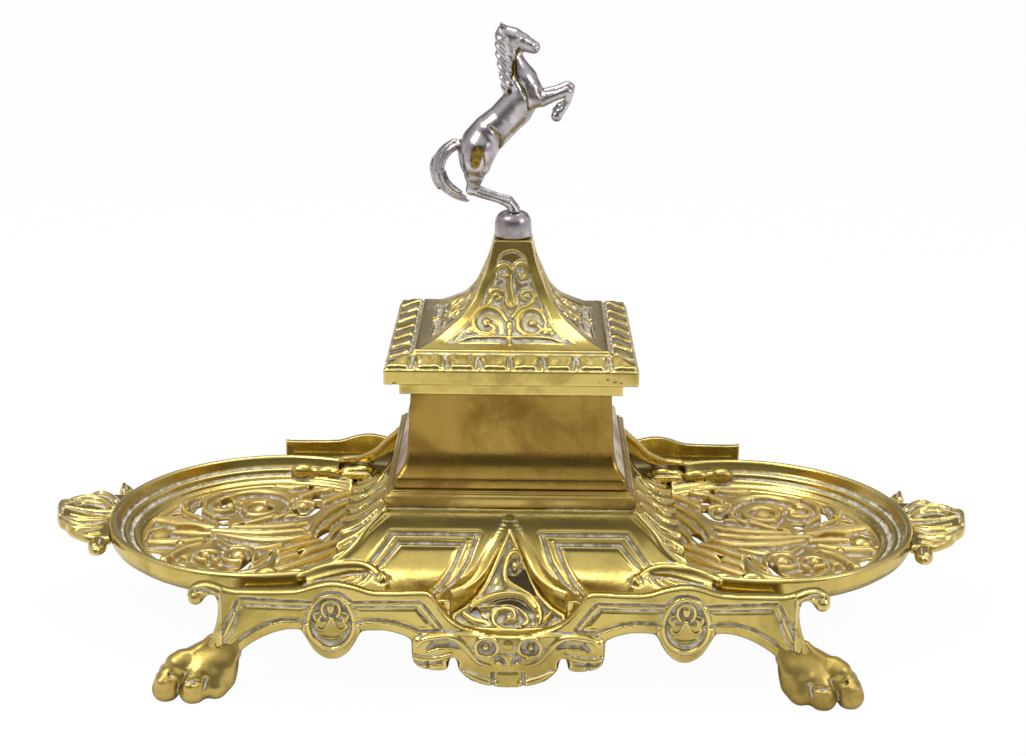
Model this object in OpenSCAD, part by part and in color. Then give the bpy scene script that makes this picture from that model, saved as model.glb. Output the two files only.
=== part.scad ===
// Cast brass desk inkstand: two pierced trays, shaped aprons on paw feet,
// a square ink box and a hinged pagoda lid with a rearing horse.
// Millimetres. X runs from tray to tray, front is -Y, Z is up from the table.

/* [Base] */
// Width of the square platform under the ink box
platform_w = 78.6; // [76:0.2:82]
// Height of the platform above the table
platform_z = 48.5; // [46:0.5:52]
// Distance between the outer faces of the front and rear aprons
base_depth = 136; // [132:0.5:142]
// Thickness of the aprons
apron_t = 3; // [2.4:0.1:3.6]
// Height of the aprons' top lip
lip_z = 33.8; // [32:0.2:36]
// Lowest height of the pen coves
cove_z = 29.5; // [28:0.1:30.5]
// Wall of the cast plate
plate_t = 2.2; // [1.8:0.1:2.8]
// Height of the aprons' lower edge between roundel and cartouche
hem_z = 20.5; // [19:0.1:22]
// Distance from the middle to a roundel's centre
roundel_x = 53.3; // [50:0.1:56]
// Distance from the middle to the aprons' upper corners
corner_x = 82; // [80:0.5:84]

/* [Feet] */
// Distance from the middle to the ankle
ankle_x = 89.6; // [88:0.2:92]
// Height of the ankle where the leg meets the paw
ankle_z = 13; // [12:0.2:14]
// Radius of a toe's knuckle
knuckle_r = 3.6; // [3:0.1:4]
// Radius of a toe's tip
toe_r = 3; // [2.6:0.1:3.4]

/* [Trays] */
// Distance from the middle to a tray's centre
tray_x = 79.5; // [78:0.5:82]
// Outer radius of a tray's rim
tray_r = 54; // [53:0.5:55]
// Width of the rim in plan
rim_w = 11.2; // [10:0.2:12]
// Height of the rim's crest
rim_z = 33; // [32:0.2:34]
// Height of the pierced floor's upper face
grille_z = 24.8; // [24:0.1:25.5]
// Thickness of the pierced floor
grille_t = 2; // [1.6:0.1:2.6]
// Length of the leaf finial beyond the rim
leaf_l = 19.3; // [17:0.1:22]
// Radius of the ball at the leaf's tip
leaf_ball_r = 2.5; // [2:0.1:3]

/* [Ink box] */
// Width of the box just under the collar
box_w = 62.2; // [60:0.2:64]
// Height of the box from plinth to collar
box_h = 30.4; // [28:0.2:34]
// Wall of the box at its top
box_wall = 2.4; // [2:0.1:3]
// Height of the plinth moulding
plinth_h = 6.4; // [5.6:0.1:7]
// Width of the collar plate
collar_w = 69; // [67:0.5:71]
// Thickness of the collar plate
collar_t = 4.2; // [3.6:0.1:5]
// Radius of the ink pot's body
pot_r = 23; // [21:0.5:24]
// Wall of the ink pot
pot_wall = 2.5; // [2:0.1:3]
// Width of the ink pot's flange beyond its body
pot_flange = 3; // [2:0.1:3.5]

/* [Lid] */
// Width of the lid
lid_w = 78; // [76:0.5:80]
// Thickness of the lid's edge
lid_edge = 5.5; // [4.8:0.1:6.2]
// Height of the pagoda above the lid's edge
pagoda_h = 32.2; // [30:0.2:36]
// Width of the pagoda's flat top
pagoda_top_w = 12.2; // [11.6:0.2:13]
// Wall of the lid casting
lid_wall = 2; // [1.6:0.1:2.4]
// Lobes along one side of the lid's reeded edge
lobes = 8; // [6:1:9]

/* [Hinge] */
// Radius of the hinge barrel
barrel_r = 2.6; // [2.4:0.1:3]
// Radius of the hinge pin
pin_r = 1.2; // [1:0.05:1.4]
// Length of each of the three knuckles
knuckle_l = 9; // [8:0.5:11]

/* [Finial] */
// Radius of the silvered socket under the horse
socket_r = 5.9; // [5.5:0.1:6]
// Height of the socket
socket_h = 8.6; // [8:0.1:9.4]
// Height of the horse from hoofs to ears
horse_h = 59; // [56:0.5:62]

/* [Hidden] */
$fn = 64;

// clearance between fixed castings that are fitted together
seam = 0.05;
// running clearance of the hinge pin in its knuckles
pin_gap = 0.05;
// gap between parts that move past each other
move_gap = 0.3;
// amount by which cutting tools run past the metal
past = 1;

brass = "#c9a23a";
dull_brass = "#a5853c";
silver = "#c4c2bd";
glaze = "#f2f0ea";
steel = "#8d8d90";

platform_h = platform_w / 2;
apron_y = base_depth / 2;
cove_end_y = apron_y - apron_t;
cove_axis_y = apron_y - 6;
cove_reach = cove_axis_y - platform_h;
cove_drop = platform_z - cove_z;
cove_r = (cove_reach * cove_reach + cove_drop * cove_drop) / (2 * cove_drop);
cove_axis_z = cove_z + cove_r;
deck_z = cove_z + 0.2;
flare_foot_x = 57;
flare_axis_x = 63;
flare_reach = flare_axis_x - platform_h;
flare_z = grille_z + 0.4;
flare_drop = platform_z - flare_z;
flare_r = (flare_reach * flare_reach + flare_drop * flare_drop) / (2 * flare_drop);
hip_end = [60, 48];
// how far coves, shoulders and hips run in under the platform's edge
hip_root = 1.2;
fret_t = 1.8;
fret_apex_y = platform_h + 1.4;
fret_foot_y = 56;
// the panel's curve runs from the cove's apex to just behind the aprons' middle
fret_hi = [fret_apex_y, 43.5];
fret_lo = [cove_end_y, hem_z - 1.3];
fret_r = 53;
fret_mid = (fret_hi + fret_lo) / 2;
fret_run = fret_lo - fret_hi;
fret_axis = fret_mid + [-fret_run[1], fret_run[0]] / norm(fret_run)
    * sqrt(fret_r * fret_r - fret_run * fret_run / 4);
rim_in = tray_r - rim_w;
rim_seat_z = grille_z - 0.8;
grille_r = rim_in + 2.2;

plinth_z = platform_z;
box_z = plinth_z + plinth_h;
collar_z = box_z + box_h;
collar_top = collar_z + collar_t;
lid_z = collar_top + 0.2;
lid_top = lid_z + lid_edge;
apex_z = lid_top + pagoda_h;
lid_half = lid_w / 2;
hinge_y = lid_half + 0.4 + barrel_r;
hinge_z = lid_z;
box_floor = 2.4;
// air between the pot's bottom and the box's floor
pot_air = 1.2;
stud_r = 1.5;
nut_h = 2.4;
nut_r = 3.2;
lid_roof = 3.2;
bolt_r = 1.5;
bolt_at = 32.2;

// points of a circular arc
function arc(c, r, a0, a1, n) =
    [for (i = [0:n]) let (a = a0 + (a1 - a0) * i / n) c + r * [cos(a), sin(a)]];

// points of an elliptical arc
function ell(c, rx, ry, a0, a1, n) =
    [for (i = [0:n]) let (a = a0 + (a1 - a0) * i / n) c + [rx * cos(a), ry * sin(a)]];

// smooth curve through a few chosen points, n steps between neighbours
function blend(a, b, c, d, t) =
    0.5 * (2 * b + (c - a) * t + (2 * a - 5 * b + 4 * c - d) * t * t
    + (3 * b - a - 3 * c + d) * t * t * t);
function curve(p, n = 4) = [
    for (i = [0:len(p) - 2]) for (j = [0:n - 1])
        blend(p[max(i - 1, 0)], p[i], p[i + 1], p[min(i + 2, len(p) - 1)], j / n),
    p[len(p) - 1]];

// spiral that winds from radius r0 to r1
function volute(c, r0, r1, a0, a1, n) = [
    for (i = [0:n]) let (t = i / n, a = a0 + (a1 - a0) * t)
        c + (r0 + (r1 - r0) * t) * [cos(a), sin(a)]];

function mirrored(p) = [for (i = [len(p) - 1:-1:0]) [-p[i][0], p[i][1]]];

function across(p, i) =
    let (v = p[min(i + 1, len(p) - 1)] - p[max(i - 1, 0)]) [-v[1], v[0]] / norm(v);

// flat band along a curve, as wide as w0 at its start, wm in its middle and w1 at its end
module ribbon(p, w0, wm, w1) {
    n = len(p) - 1;
    half = [for (i = [0:n]) lookup(i / n, [[0, w0], [0.5, wm], [1, w1]]) / 2];
    polygon(concat(
        [for (i = [0:n]) p[i] + across(p, i) * half[i]],
        [for (i = [n:-1:0]) p[i] - across(p, i) * half[i]]));
}

// outline moved inwards by d, and a line of width w just inside an outline
function inset(p, d) = [for (i = [0:len(p) - 1]) let (
    a = p[(i + len(p) - 1) % len(p)], b = p[(i + 1) % len(p)],
    u = (p[i] - a) / norm(p[i] - a), v = (b - p[i]) / norm(b - p[i]),
    m = [-u[1] - v[1], u[0] + v[0]]) p[i] + m * d / (1 + u * v)];
module loop_line(p, w) {
    difference() {
        polygon(p);
        polygon(inset(p, w));
    }
}

// flat shapes cast together: one outline with small fillets in its inner corners
fillet = 0.3;
module cast_outline() {
    offset(r = -fillet, $fn = 12) offset(delta = fillet) children();
}

module both_y() {
    children();
    mirror([0, 1, 0]) children();
}

// triangles of a closed tube of n spans, each ring with the given number of sides
function tube_faces(n, sides) = concat(
    [for (k = [1:sides - 2]) [0, k + 1, k]],
    [for (i = [0:n - 1]) for (k = [0:sides - 1]) let (a = i * sides + k,
        b = i * sides + (k + 1) % sides) each [[a, b, b + sides], [a, b + sides, a + sides]]],
    [for (k = [1:sides - 2]) [n * sides, n * sides + k, n * sides + k + 1]]);

module both_x() {
    children();
    mirror([1, 0, 0]) children();
}

// body with a square plan whose outline in front view is the given right half
module square_turned(half) {
    outline = concat(half, mirrored(half));
    reach = 2 * max([for (q = half) q[0]]) + past;
    intersection() {
        rotate([90, 0, 0]) linear_extrude(reach, center = true) polygon(outline);
        rotate([90, 0, 90]) linear_extrude(reach, center = true) polygon(outline);
    }
}

// triangular opening in the middle of a cove, in plan: flared sides and a round foot
fret_side = curve([[0.5, fret_apex_y], [2.4, 42.6], [4.7, 46], [7.2, 50], [10, 53.4], [13.4, 56.4],
    [17.4, 58.8]], 3);
fret_foot = ell([0, fret_foot_y], 18.6, cove_end_y - fret_foot_y - seam, 22, 90, 6);

module fret_plan(grow) {
    side = [for (q = fret_side) q + [grow, 0]];
    polygon(concat(side, [[17.6 + grow, cove_end_y + past]], [[-17.6 - grow, cove_end_y + past]],
        mirrored(side)));
}

// wall that drops from the cove's edge to the pierced panel
module fret_wall() {
    difference() {
        linear_extrude(platform_z - 2) difference() {
            fret_plan(1.4);
            fret_plan(0);
            translate([-50, cove_end_y]) square([100, 10]);
        }
        mirror([0, 1, 0]) cove_shell(0, cove_r);
        mirror([0, 1, 0]) fret_shell(fret_r + fret_t + 0.8, 3 * fret_r);
    }
}

// one hollow-backed cove along the front or rear of the platform
module cove_shell(r_in, r_out) {
    translate([0, -cove_axis_y, cove_axis_z]) rotate([0, 90, 0]) difference() {
        cylinder(r = r_out, h = 2 * hip_end[0], center = true);
        if (r_in > 0) cylinder(r = r_in, h = 2 * hip_end[0] + past, center = true);
    }
}

// the pierced panel's own, flatter curve
module fret_shell(r_in, r_out) {
    translate([0, -fret_axis[0], fret_axis[1]]) rotate([0, 90, 0]) difference() {
        cylinder(r = r_out, h = 40, center = true);
        cylinder(r = r_in, h = 40 + past, center = true);
    }
}

module cove_mask() {
    in = platform_h - hip_root;
    linear_extrude(platform_z) polygon([[-in, -in], [in, -in], [hip_end[0], -hip_end[1]],
        [hip_end[0], -cove_end_y], [-hip_end[0], -cove_end_y], [-hip_end[0], -hip_end[1]]]);
}

// double line that frames the sunk panels of a cove, in plan
module cove_panel_lines() {
    panel = [[9.6, -41.6], [13.4, -50], [20, -58], [36, -58], [43.4, -50], [37.4, -41.6]];
    loop_line(panel, 0.7);
    loop_line(inset(panel, 3), 0.7);
}

module front_cove() {
    difference() {
        intersection() {
            cove_shell(cove_r, cove_r + plate_t);
            cove_mask();
        }
        mirror([0, 1, 0]) linear_extrude(platform_z) fret_plan(0);
        intersection() {
            cove_shell(cove_r - past, cove_r + 0.5);
            both_x() linear_extrude(platform_z) cove_panel_lines();
        }
    }
}

// concave shoulder between the platform and a tray
module right_flare() {
    in = platform_h - hip_root - 0.8;
    intersection() {
        translate([flare_axis_x, 0, flare_z + flare_r]) rotate([90, 0, 0]) difference() {
            cylinder(r = flare_r + plate_t, h = 2 * hip_end[1], center = true);
            cylinder(r = flare_r, h = 2 * hip_end[1] + past, center = true);
        }
        linear_extrude(platform_z) polygon([[in, -in], [flare_foot_x, -46.6],
            [flare_foot_x, 46.6], [in, in]]);
    }
}

// raised leaves that fall from the platform down a shoulder
module flare_leaves() {
    intersection() {
        translate([flare_axis_x, 0, flare_z + flare_r]) rotate([90, 0, 0]) difference() {
            cylinder(r = flare_r + past, h = 2 * hip_end[1], center = true);
            cylinder(r = flare_r - 0.9, h = 2 * hip_end[1] + past, center = true);
        }
        linear_extrude(platform_z) both_y() {
            ribbon(curve([[40.5, 4], [46, 6], [51, 12], [52.5, 20]], 4), 1.6, 4, 1.2);
            ribbon(curve([[40.5, 16], [45, 19], [50, 27], [52, 36]], 4), 1.6, 4, 1.2);
            ribbon(curve([[41, 30], [45, 34], [49, 39]], 4), 1.4, 3, 1);
        }
    }
}

// wall along the hip from a platform corner out to the tray's rim
module hip() {
    run = hip_end - [platform_h, platform_h];
    len_h = norm(run);
    steps = 8;
    crest = [for (i = [0:steps]) let (t = i / steps,
            y = cove_axis_y - platform_h - (hip_end[1] - platform_h) * t)
        [len_h * t, cove_axis_z - sqrt(cove_r * cove_r - y * y)
            + (i == 0 ? -0.4 : 0.9 * sin(180 * min(t * 4, 0.5)))]];
    foot = [for (i = [steps:-1:0]) let (t = i / steps, x = flare_axis_x - platform_h - run[0] * t)
        [len_h * t, flare_z + flare_r - sqrt(pow(flare_r + plate_t, 2) - x * x) - 0.2]];
    translate([platform_h, -platform_h, 0]) rotate([0, 0, -atan2(run[1], run[0])])
        rotate([90, 0, 0]) linear_extrude(2.6, center = true)
            polygon(concat([[-hip_root, crest[0][1]]], crest, foot, [[-hip_root, foot[steps][1]]]));
}

// moulding that carries the rim on over the cove and ends in a curl
tongue_at = [52.9, -66.4];
tongue_arc = 19;
tongue_w = 2.4;
tongue_turn = 62;
function tongue_end(r) = [tongue_at[0] + r * cos(tongue_turn), -tongue_at[1] - r * sin(tongue_turn)];
module tongue() {
    curl = 136;
    translate(tongue_at) {
        rotate([0, 0, tongue_turn]) rotate_extrude(angle = curl - tongue_turn)
            polygon(concat([[tongue_arc + tongue_w, cove_z - 1]],
                arc([tongue_arc, rim_z - 1.8], tongue_w - 0.1, 0, 180, 6),
                [[tongue_arc - tongue_w, cove_z - 1]]));
        rotate([0, 0, curl]) translate([tongue_arc, 0, rim_z - 2.4]) sphere(r = 2.7);
    }
}

// deck beside the coves, seat for the tray's rim and lugs for the aprons
module right_deck() {
    difference() {
        translate([hip_end[0] - 2.6, -cove_end_y, deck_z - plate_t])
            cube([corner_x - hip_end[0] + 0.6, 2 * cove_end_y, plate_t]);
        translate([tray_x, 0, 0]) cylinder(r = tray_r + seam + 0.5, h = platform_z);
    }
    seat_top = deck_z - 0.3;
    for (s = [1, -1]) translate([tray_x, 0, 0]) intersection() {
        rotate([0, 0, s * 90 + (s < 0 ? -32 : 0)]) rotate_extrude(angle = 32)
            polygon([[46.4, rim_seat_z - 2.2], [56.4, rim_seat_z - 2.2], [56.4, seat_top],
                [tray_r + seam, seat_top], [tray_r + seam, rim_seat_z], [46.4, rim_seat_z]]);
        translate([-40, -100, 0]) cube([42, 200, platform_z]);
    }
}

apron_lug_x = 70;
module apron_lugs() {
    for (x = [apron_lug_x, -apron_lug_x, 30, -30])
        translate([x - 4, -cove_end_y, deck_z - plate_t - 5.5]) cube([8, 2.6, 6]);
}

module centre_plate() {
    color(brass) difference() {
        union() {
            translate([-platform_h, -platform_h, platform_z - 3])
                cube([platform_w, platform_w, 3]);
            both_y() front_cove();
            both_y() mirror([0, 1, 0]) fret_wall();
            both_x() {
                right_flare();
                flare_leaves();
                both_y() {
                    hip();
                    tongue();
                }
                right_deck();
                translate([flare_foot_x - 3, -35, grille_z - grille_t - 2])
                    cube([5, 70, 2]);
                translate([flare_foot_x - 3, -35, grille_z - grille_t - 2])
                    cube([2.4, 70, 4.4]);
            }
            both_y() apron_lugs();
        }
        both_x() both_y() translate([bolt_at, bolt_at, platform_z - 3 - past])
            cylinder(r = bolt_r + seam, h = 3 + 2 * past);
        translate([0, 0, platform_z - 3 - past]) cylinder(r = 9, h = 3 + 2 * past);
        both_y() for (x = [apron_lug_x, -apron_lug_x, 30, -30])
            translate([x, -cove_end_y - past, apron_screw_z]) rotate([-90, 0, 0])
                cylinder(r = 1 + seam, h = 6);
        both_x() both_y() translate(tray_screw_at) cylinder(r = 1 + seam, h = 6, center = true);
    }
}

apron_screw_z = deck_z - plate_t - 2.8;
tray_screw_at = [tray_x - 12, sqrt(48.2 * 48.2 - 144), rim_seat_z - 1];

// pierced scroll panel that closes the triangular opening, in plan
module fret_pattern() {
    ribbon([for (q = fret_side) q - [0.7, 0]], 0.8, 2, 2.4);
    mirror([1, 0, 0]) ribbon([for (q = fret_side) q - [0.7, 0]], 0.8, 2, 2.4);
    foot = [for (q = fret_foot) q - [0, 0.9]];
    ribbon(concat(foot, [for (i = [1:len(foot) - 1]) mirrored(foot)[i]]), 2, 2, 2);
    // solid ground under the apex
    polygon(concat([for (i = [0:8]) fret_side[i]], mirrored([for (i = [0:8]) fret_side[i]])));
    // long scroll that starts in the small upper volute
    ribbon(curve([[1.4, 47.8], [2.9, 48.1], [3.4, 46.8], [2, 45.7], [0, 46], [-0.9, 47.6],
        [-0.2, 49.6], [2, 51.6], [5.2, 53.6], [8.2, 55.8], [9.6, 58.6], [9.2, 61.6], [7.6, 64]], 3),
        1.3, 2.2, 2.4);
    // arm that springs from the left edge
    ribbon(curve([[-10.6, 55.4], [-6.6, 54.4], [-2.6, 53.8], [1.2, 54], [4.8, 55.8], [8, 59]], 3),
        2.8, 2, 1.4);
    // lower volute, from its button out to the foot
    ribbon(curve([[0.9, 60.7], [3, 61.4], [4.2, 59.8], [2.6, 58], [-0.6, 57.6], [-3.2, 59.2],
        [-3, 61.8], [-0.4, 63.6], [4, 64]], 3), 2.2, 1.8, 1.6);
    translate([1, 60.6]) circle(r = 1.4);
    ribbon(curve([[-9, 57.4], [-6, 57.6], [-3, 59]], 3), 2.4, 2, 1.6);
    // leaves that fill the lower corners
    ribbon(curve([[-15, 58.6], [-11.4, 59.6], [-8.6, 61.6], [-6.4, 64]], 3), 3, 2.6, 2);
    ribbon(curve([[14.6, 58.6], [12.4, 60], [10, 61.6]], 3), 3.4, 2.4, 2);
}

module front_fret() {
    color(brass) intersection() {
        fret_shell(fret_r, fret_r + fret_t);
        mirror([0, 1, 0]) linear_extrude(platform_z) cast_outline() intersection() {
            fret_pattern();
            fret_plan(-seam);
            square([100, 2 * (cove_end_y - seam)], center = true);
        }
    }
}

// rim of the right tray, as a section turned about the tray's centre
rim_section = concat(
    [[tray_r, rim_z - 4.4]],
    arc([tray_r - 1.3, rim_z - 1.3], 1.3, 0, 150, 6),
    arc([tray_r - 8.2, rim_z - 0.6], 5.4, -8, -82, 8),
    [[tray_r - 8, rim_z - 6.6], [rim_in + 0.6, rim_z - 6.8], [rim_in, rim_z - 7.4],
    [rim_in, grille_z], [grille_r + seam, grille_z], [grille_r + seam, rim_seat_z],
    [tray_r - 4, rim_seat_z], [tray_r - 1, rim_seat_z + 2.4]]);

module right_rim() {
    color(brass) difference() {
        union() {
            translate([tray_x, 0, 0]) rotate([0, 0, 180]) rotate_extrude()
                polygon(rim_section);
            // double-lobed leaf that closes the moulding at each end
            both_y() for (a = [106, 113]) translate([tray_x, 0, 0]) rotate([0, 0, a])
                translate([tray_r - 7, 0, rim_z - 4]) sphere(r = 2.6);
        }
        both_y() translate(tray_screw_at) cylinder(r = 1 - seam, h = 6, center = true);
        hip_side();
    }
}

// space taken by the shoulder, hips and tongues, which the rim's ends stop short of
function hip_y(x) = lookup(x, [[platform_h, platform_h], hip_end]);
module hip_side() {
    foot_x = flare_foot_x + seam;
    end_x = hip_end[0] + 1.4;
    near = tongue_end(tongue_arc + tongue_w + 0.6);
    far = tongue_end(tongue_arc - tongue_w - 0.6);
    linear_extrude(platform_z) both_y() polygon([[foot_x, -past], [foot_x, hip_y(foot_x) - 1.5],
        [end_x, hip_y(end_x) - 1.5], near + [0.3, -0.4], far + [0.3, 0], far + [0, 12],
        [20, far[1] + 12], [20, -past]]);
}

// pierced scrollwork of a tray's floor, x pointing away from the box
module grille_pattern() {
    hub = [9.6, 20.8];
    difference() {
        circle(r = grille_r);
        circle(r = rim_in - 0.8);
    }
    translate([flare_foot_x - tray_x + 1.2, 0]) square([4, 78], center = true);
    both_y() {
        // great volute that springs from the stem and winds in to its button
        ribbon(concat(curve([[-23, 3.4], [-15, 4.4], [-7.4, 7.6], [-4, 12]], 3),
            volute(hub, 13.4, 3, 200, -400, 36)), 3, 3.6, 2.4);
        translate(hub) circle(r = 3.4);
        // leaf scrolls between the volute and the rim
        for (q = [[118, 4, 10.6], [84, -3, 10], [46, 4, 9.4], [14, -4, 8.8]])
            translate(hub) rotate(q[0])
                ribbon(curve([[q[2], 0], [15.4, q[1] / 3], [18, q[1]], [20.4, 1.4 * q[1]],
                    [26, 2 * q[1]]], 3), 3.6, 4.4, 2.6);
        translate(hub + [19.6, 9]) circle(r = 2.8);
        translate(hub + [-3, 18]) circle(r = 2.6);
        // small volute on the box's side
        ribbon(concat(curve([[-23, 37], [-18, 35], [-13, 33.4]], 3),
            volute([-9.8, 24.8], 7.8, 2, 105, -300, 20)), 3, 3, 2);
        translate([-9.8, 24.8]) circle(r = 2.6);
        ribbon(curve([[-4, 29], [-2.4, 33], [-3.6, 37.4], [-8, 43]], 3), 3, 4, 3);
        // loop and leaves nearest the box
        translate([-15.4, 12.4]) difference() {
            circle(r = 6.6);
            circle(r = 3.6);
        }
        ribbon(curve([[-23, 20.4], [-18, 19.8], [-11.6, 17.4], [-4, 14]], 3), 4, 3, 2.6);
        ribbon(curve([[-23, 29.6], [-18.6, 27.6], [-15.6, 26]], 3), 4, 3, 3.4);
        ribbon(curve([[-23, 9], [-19.6, 9.6], [-15.4, 12.4]], 3), 3, 2.6, 2.4);
        ribbon(curve([[-15.4, 12.4], [-10, 9.6], [-7, 8]], 3), 2.2, 2.2, 2.2);
        // leaf that fills the heart between volute and stem
        ribbon(curve([[-6, 0], [0, 3.4], [4.4, 4.6], [10, 5.4], [17, 8.4], [20.6, 13.6]], 3), 3, 4.4, 3);
        // side lobes of the palmette
        ribbon(curve([[12, 1], [19, 4.6], [27, 6.6], [37, 9]], 3), 3.4, 4, 5.6);
        ribbon(curve([[14, 4], [20, 9.6], [27, 13.4], [34.6, 17.6]], 3), 3, 4, 5.2);
        ribbon(curve([[34, 8], [39, 10], [43, 12]], 3), 4, 3, 3);
        ribbon(curve([[32, 16.6], [36, 19], [40, 20]], 3), 4, 3, 3);
    }
    // stem and middle lobe of the palmette
    ribbon([[-23, 0], [-8, 0], [8, 0], [22, 0], [38, 0]], 4, 4.6, 6);
    translate([39, 0]) circle(r = 3.4);
    ribbon([[37, 0], [43.6, 0]], 3.4, 3.4, 3.4);
}

module right_grille() {
    color(brass) translate([tray_x, 0, grille_z - grille_t]) linear_extrude(grille_t)
        cast_outline() intersection() {
            grille_pattern();
            circle(r = grille_r);
            translate([flare_foot_x - tray_x + seam, -50]) square([110, 100]);
        }
}

leaf_z = rim_z - 5.2;
leaf_t = 3.6;
module right_leaf() {
    tip = tray_r + leaf_l - leaf_ball_r;
    lobe = concat(arc([0, 0], tray_r + seam, -26, 0, 6), [[tray_r + seam, 0]]);
    color(brass) translate([tray_x, 0, 0]) difference() {
        union() {
            translate([0, 0, leaf_z]) linear_extrude(leaf_t) union() {
                ribbon(arc([0, 0], tray_r + 1.4, -25, 25, 12), 3, 3.4, 3);
                polygon(concat([[tray_r - 2, -15]], curve([[tray_r + 2, -14.6], [tray_r + 6, -13],
                    [tray_r + 7, -9.6], [tray_r + 10.4, -9], [tray_r + 11.4, -5.8],
                    [tray_r + 14, -4.6], [tip - 2, -1.9], [tip, -1.6]], 3),
                    [[tip, 1.6]], curve([[tip - 2, 1.9], [tray_r + 14, 4.6], [tray_r + 11.4, 5.8],
                    [tray_r + 10.4, 9], [tray_r + 7, 9.6], [tray_r + 6, 13],
                    [tray_r + 2, 14.6]], 3), [[tray_r - 2, 15]]));
            }
            translate([tip, 0, leaf_z + leaf_t / 2]) sphere(r = leaf_ball_r);
            both_y() rotate([0, 0, 24]) translate([tray_r + 4.4, 0, leaf_z + leaf_t / 2])
                sphere(r = 2.5);
            // raised midrib and lobes
            translate([tray_r + 2, 0, leaf_z + leaf_t - 0.6]) rotate([0, 84, 0])
                cylinder(r1 = 2.6, r2 = 1.4, h = tip - tray_r - 2.6);
            both_y() for (a = [18, 40]) translate([tray_r + 2.4, 1.6, leaf_z + leaf_t - 1])
                rotate([0, 86, a]) cylinder(r1 = 2, r2 = 1, h = 11 - a / 8);
        }
        translate([0, 0, -past]) cylinder(r = tray_r + seam, h = platform_z);
        translate([0, 0, leaf_z - 4 - past]) cylinder(r = 90, h = 4 + past - 0.6);
    }
}

// outline of an apron with its two legs, right half from the middle outwards
lip_dip = 13.2;
function lip(x) = lip_z + (abs(x - roundel_x) < 12 ? 1.4 * (1 + cos(15 * (x - roundel_x))) : 0);
leg_in = 63;
leg_r = 29.2;
apron_right = concat(
    ell([0, lip_z - 0.2], 23, lip_dip, -84, -4, 10),
    [[24.6, lip_z]],
    [for (x = [roundel_x - 12:3:roundel_x + 12]) [x, lip(x)]],
    [[corner_x, lip_z]],
    curve([[corner_x + 2, 31.4], [86.4, 28], [89.4, 22], [92.4, 17.4], [ankle_x + 6.6, ankle_z]], 3),
    arc([leg_in, hem_z - leg_r], leg_r, asin((ankle_z - hem_z + leg_r) / leg_r), 90, 8),
    ell([roundel_x, hem_z], 8, 9.1, 0, -180, 12),
    [[36, hem_z], [30, hem_z - 2]]);

module cartouche_outline() {
    both_x() {
        translate([23.3, 14]) circle(r = 5.9);
        polygon([[0, 8], [22, 8.4], [24, 19.2], [0, 19.4]]);
    }
    polygon(ell([0, 14], 14.6, 11.1, 180, 360, 18));
}

module apron_outline() {
    polygon(concat(apron_right, [[29, 12], [-29, 12]], mirrored(apron_right)));
    cartouche_outline();
}

// scroll bud at an upper corner
module bud_outline() {
    translate([91.4, 30.2]) circle(r = 4);
    ribbon(curve([[corner_x - 3, lip_z - 3], [corner_x + 2, lip_z - 2], [87.8, 32.4]], 3), 5, 3.6, 2.4);
}

// sunk double lines that frame the panels of an apron
module apron_panel_lines() {
    inner = [[26.6, lip_z - 3.6], [45.4, lip_z - 3.6], [45.4, hem_z + 2.8], [36, hem_z + 2.8],
        [30.4, hem_z + 1]];
    outer = concat([[61.4, lip_z - 3.6], [corner_x - 1.6, lip_z - 3.2]],
        curve([[84.4, 27], [87.4, 21], [91, ankle_z + 1.6]], 3),
        [[88.6, ankle_z + 1.6]], arc([leg_in, hem_z - leg_r], leg_r + 3, 46, 88, 6),
        [[61.4, hem_z + 2.8]]);
    for (p = [inner, outer]) loop_line([for (i = [len(p) - 1:-1:0]) p[i]], 1);
}

// roundel with its trefoil, raised on the apron
module roundel_relief() {
    translate([roundel_x, 24.4]) {
        difference() {
            circle(r = 8.4);
            circle(r = 6.8);
        }
        for (a = [90, 210, 330]) translate(2.6 * [cos(a), sin(a)]) difference() {
            circle(r = 2.4);
            circle(r = 1.2);
        }
        translate([0, -4.4]) polygon([[-2.4, -1.4], [2.4, -1.4], [0, 3]]);
    }
}

// scrolls and bead of the cartouche
module cartouche_relief() {
    difference() {
        cartouche_outline();
        both_x() {
            translate([5.6, 17.4]) circle(r = 2.7);
            ribbon(curve([[22.4, 14.6], [24, 16.6], [20, 18], [14, 15.6], [11, 12.4]], 4), 3, 2.4, 0.6);
            translate([17, 8.6]) circle(r = 1.9);
        }
    }
}

module front_apron() {
    color(brass) difference() {
        union() {
            translate([0, -apron_y + apron_t, 0]) rotate([90, 0, 0]) linear_extrude(apron_t)
                cast_outline() difference() {
                    union() {
                        apron_outline();
                        both_x() bud_outline();
                    }
                    both_x() translate([17, 8.6]) circle(r = 1.9);
                }
            translate([0, -apron_y + past, 0]) rotate([90, 0, 0]) linear_extrude(past + 0.8)
                both_x() cast_outline() roundel_relief();
            translate([0, -apron_y + past, 0]) rotate([90, 0, 0]) linear_extrude(past + 1.6)
                cast_outline() cartouche_relief();
            translate([0, -apron_y - 0.4, 17.8]) sphere(r = 1.9);
            translate([0, -apron_y - 0.6, 3.4]) cylinder(r = 3.6, h = 6);
        }
        translate([0, -apron_y - past, 0]) rotate([-90, 0, 0]) mirror([0, 1, 0])
            linear_extrude(past + 0.7) both_x() apron_panel_lines();
        for (x = [apron_lug_x, -apron_lug_x, 30, -30])
            translate([x, -cove_end_y + past, apron_screw_z]) rotate([90, 0, 0])
                cylinder(r = 1 - seam, h = 3);
    }
}

// paw of the front right leg: pad, four toes and their knuckles
paw_turn = [-96, -66, -36, -6];
paw_at = [ankle_x + 5.6, -apron_y + 0.6];
paw_reach = 6.4;

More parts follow.
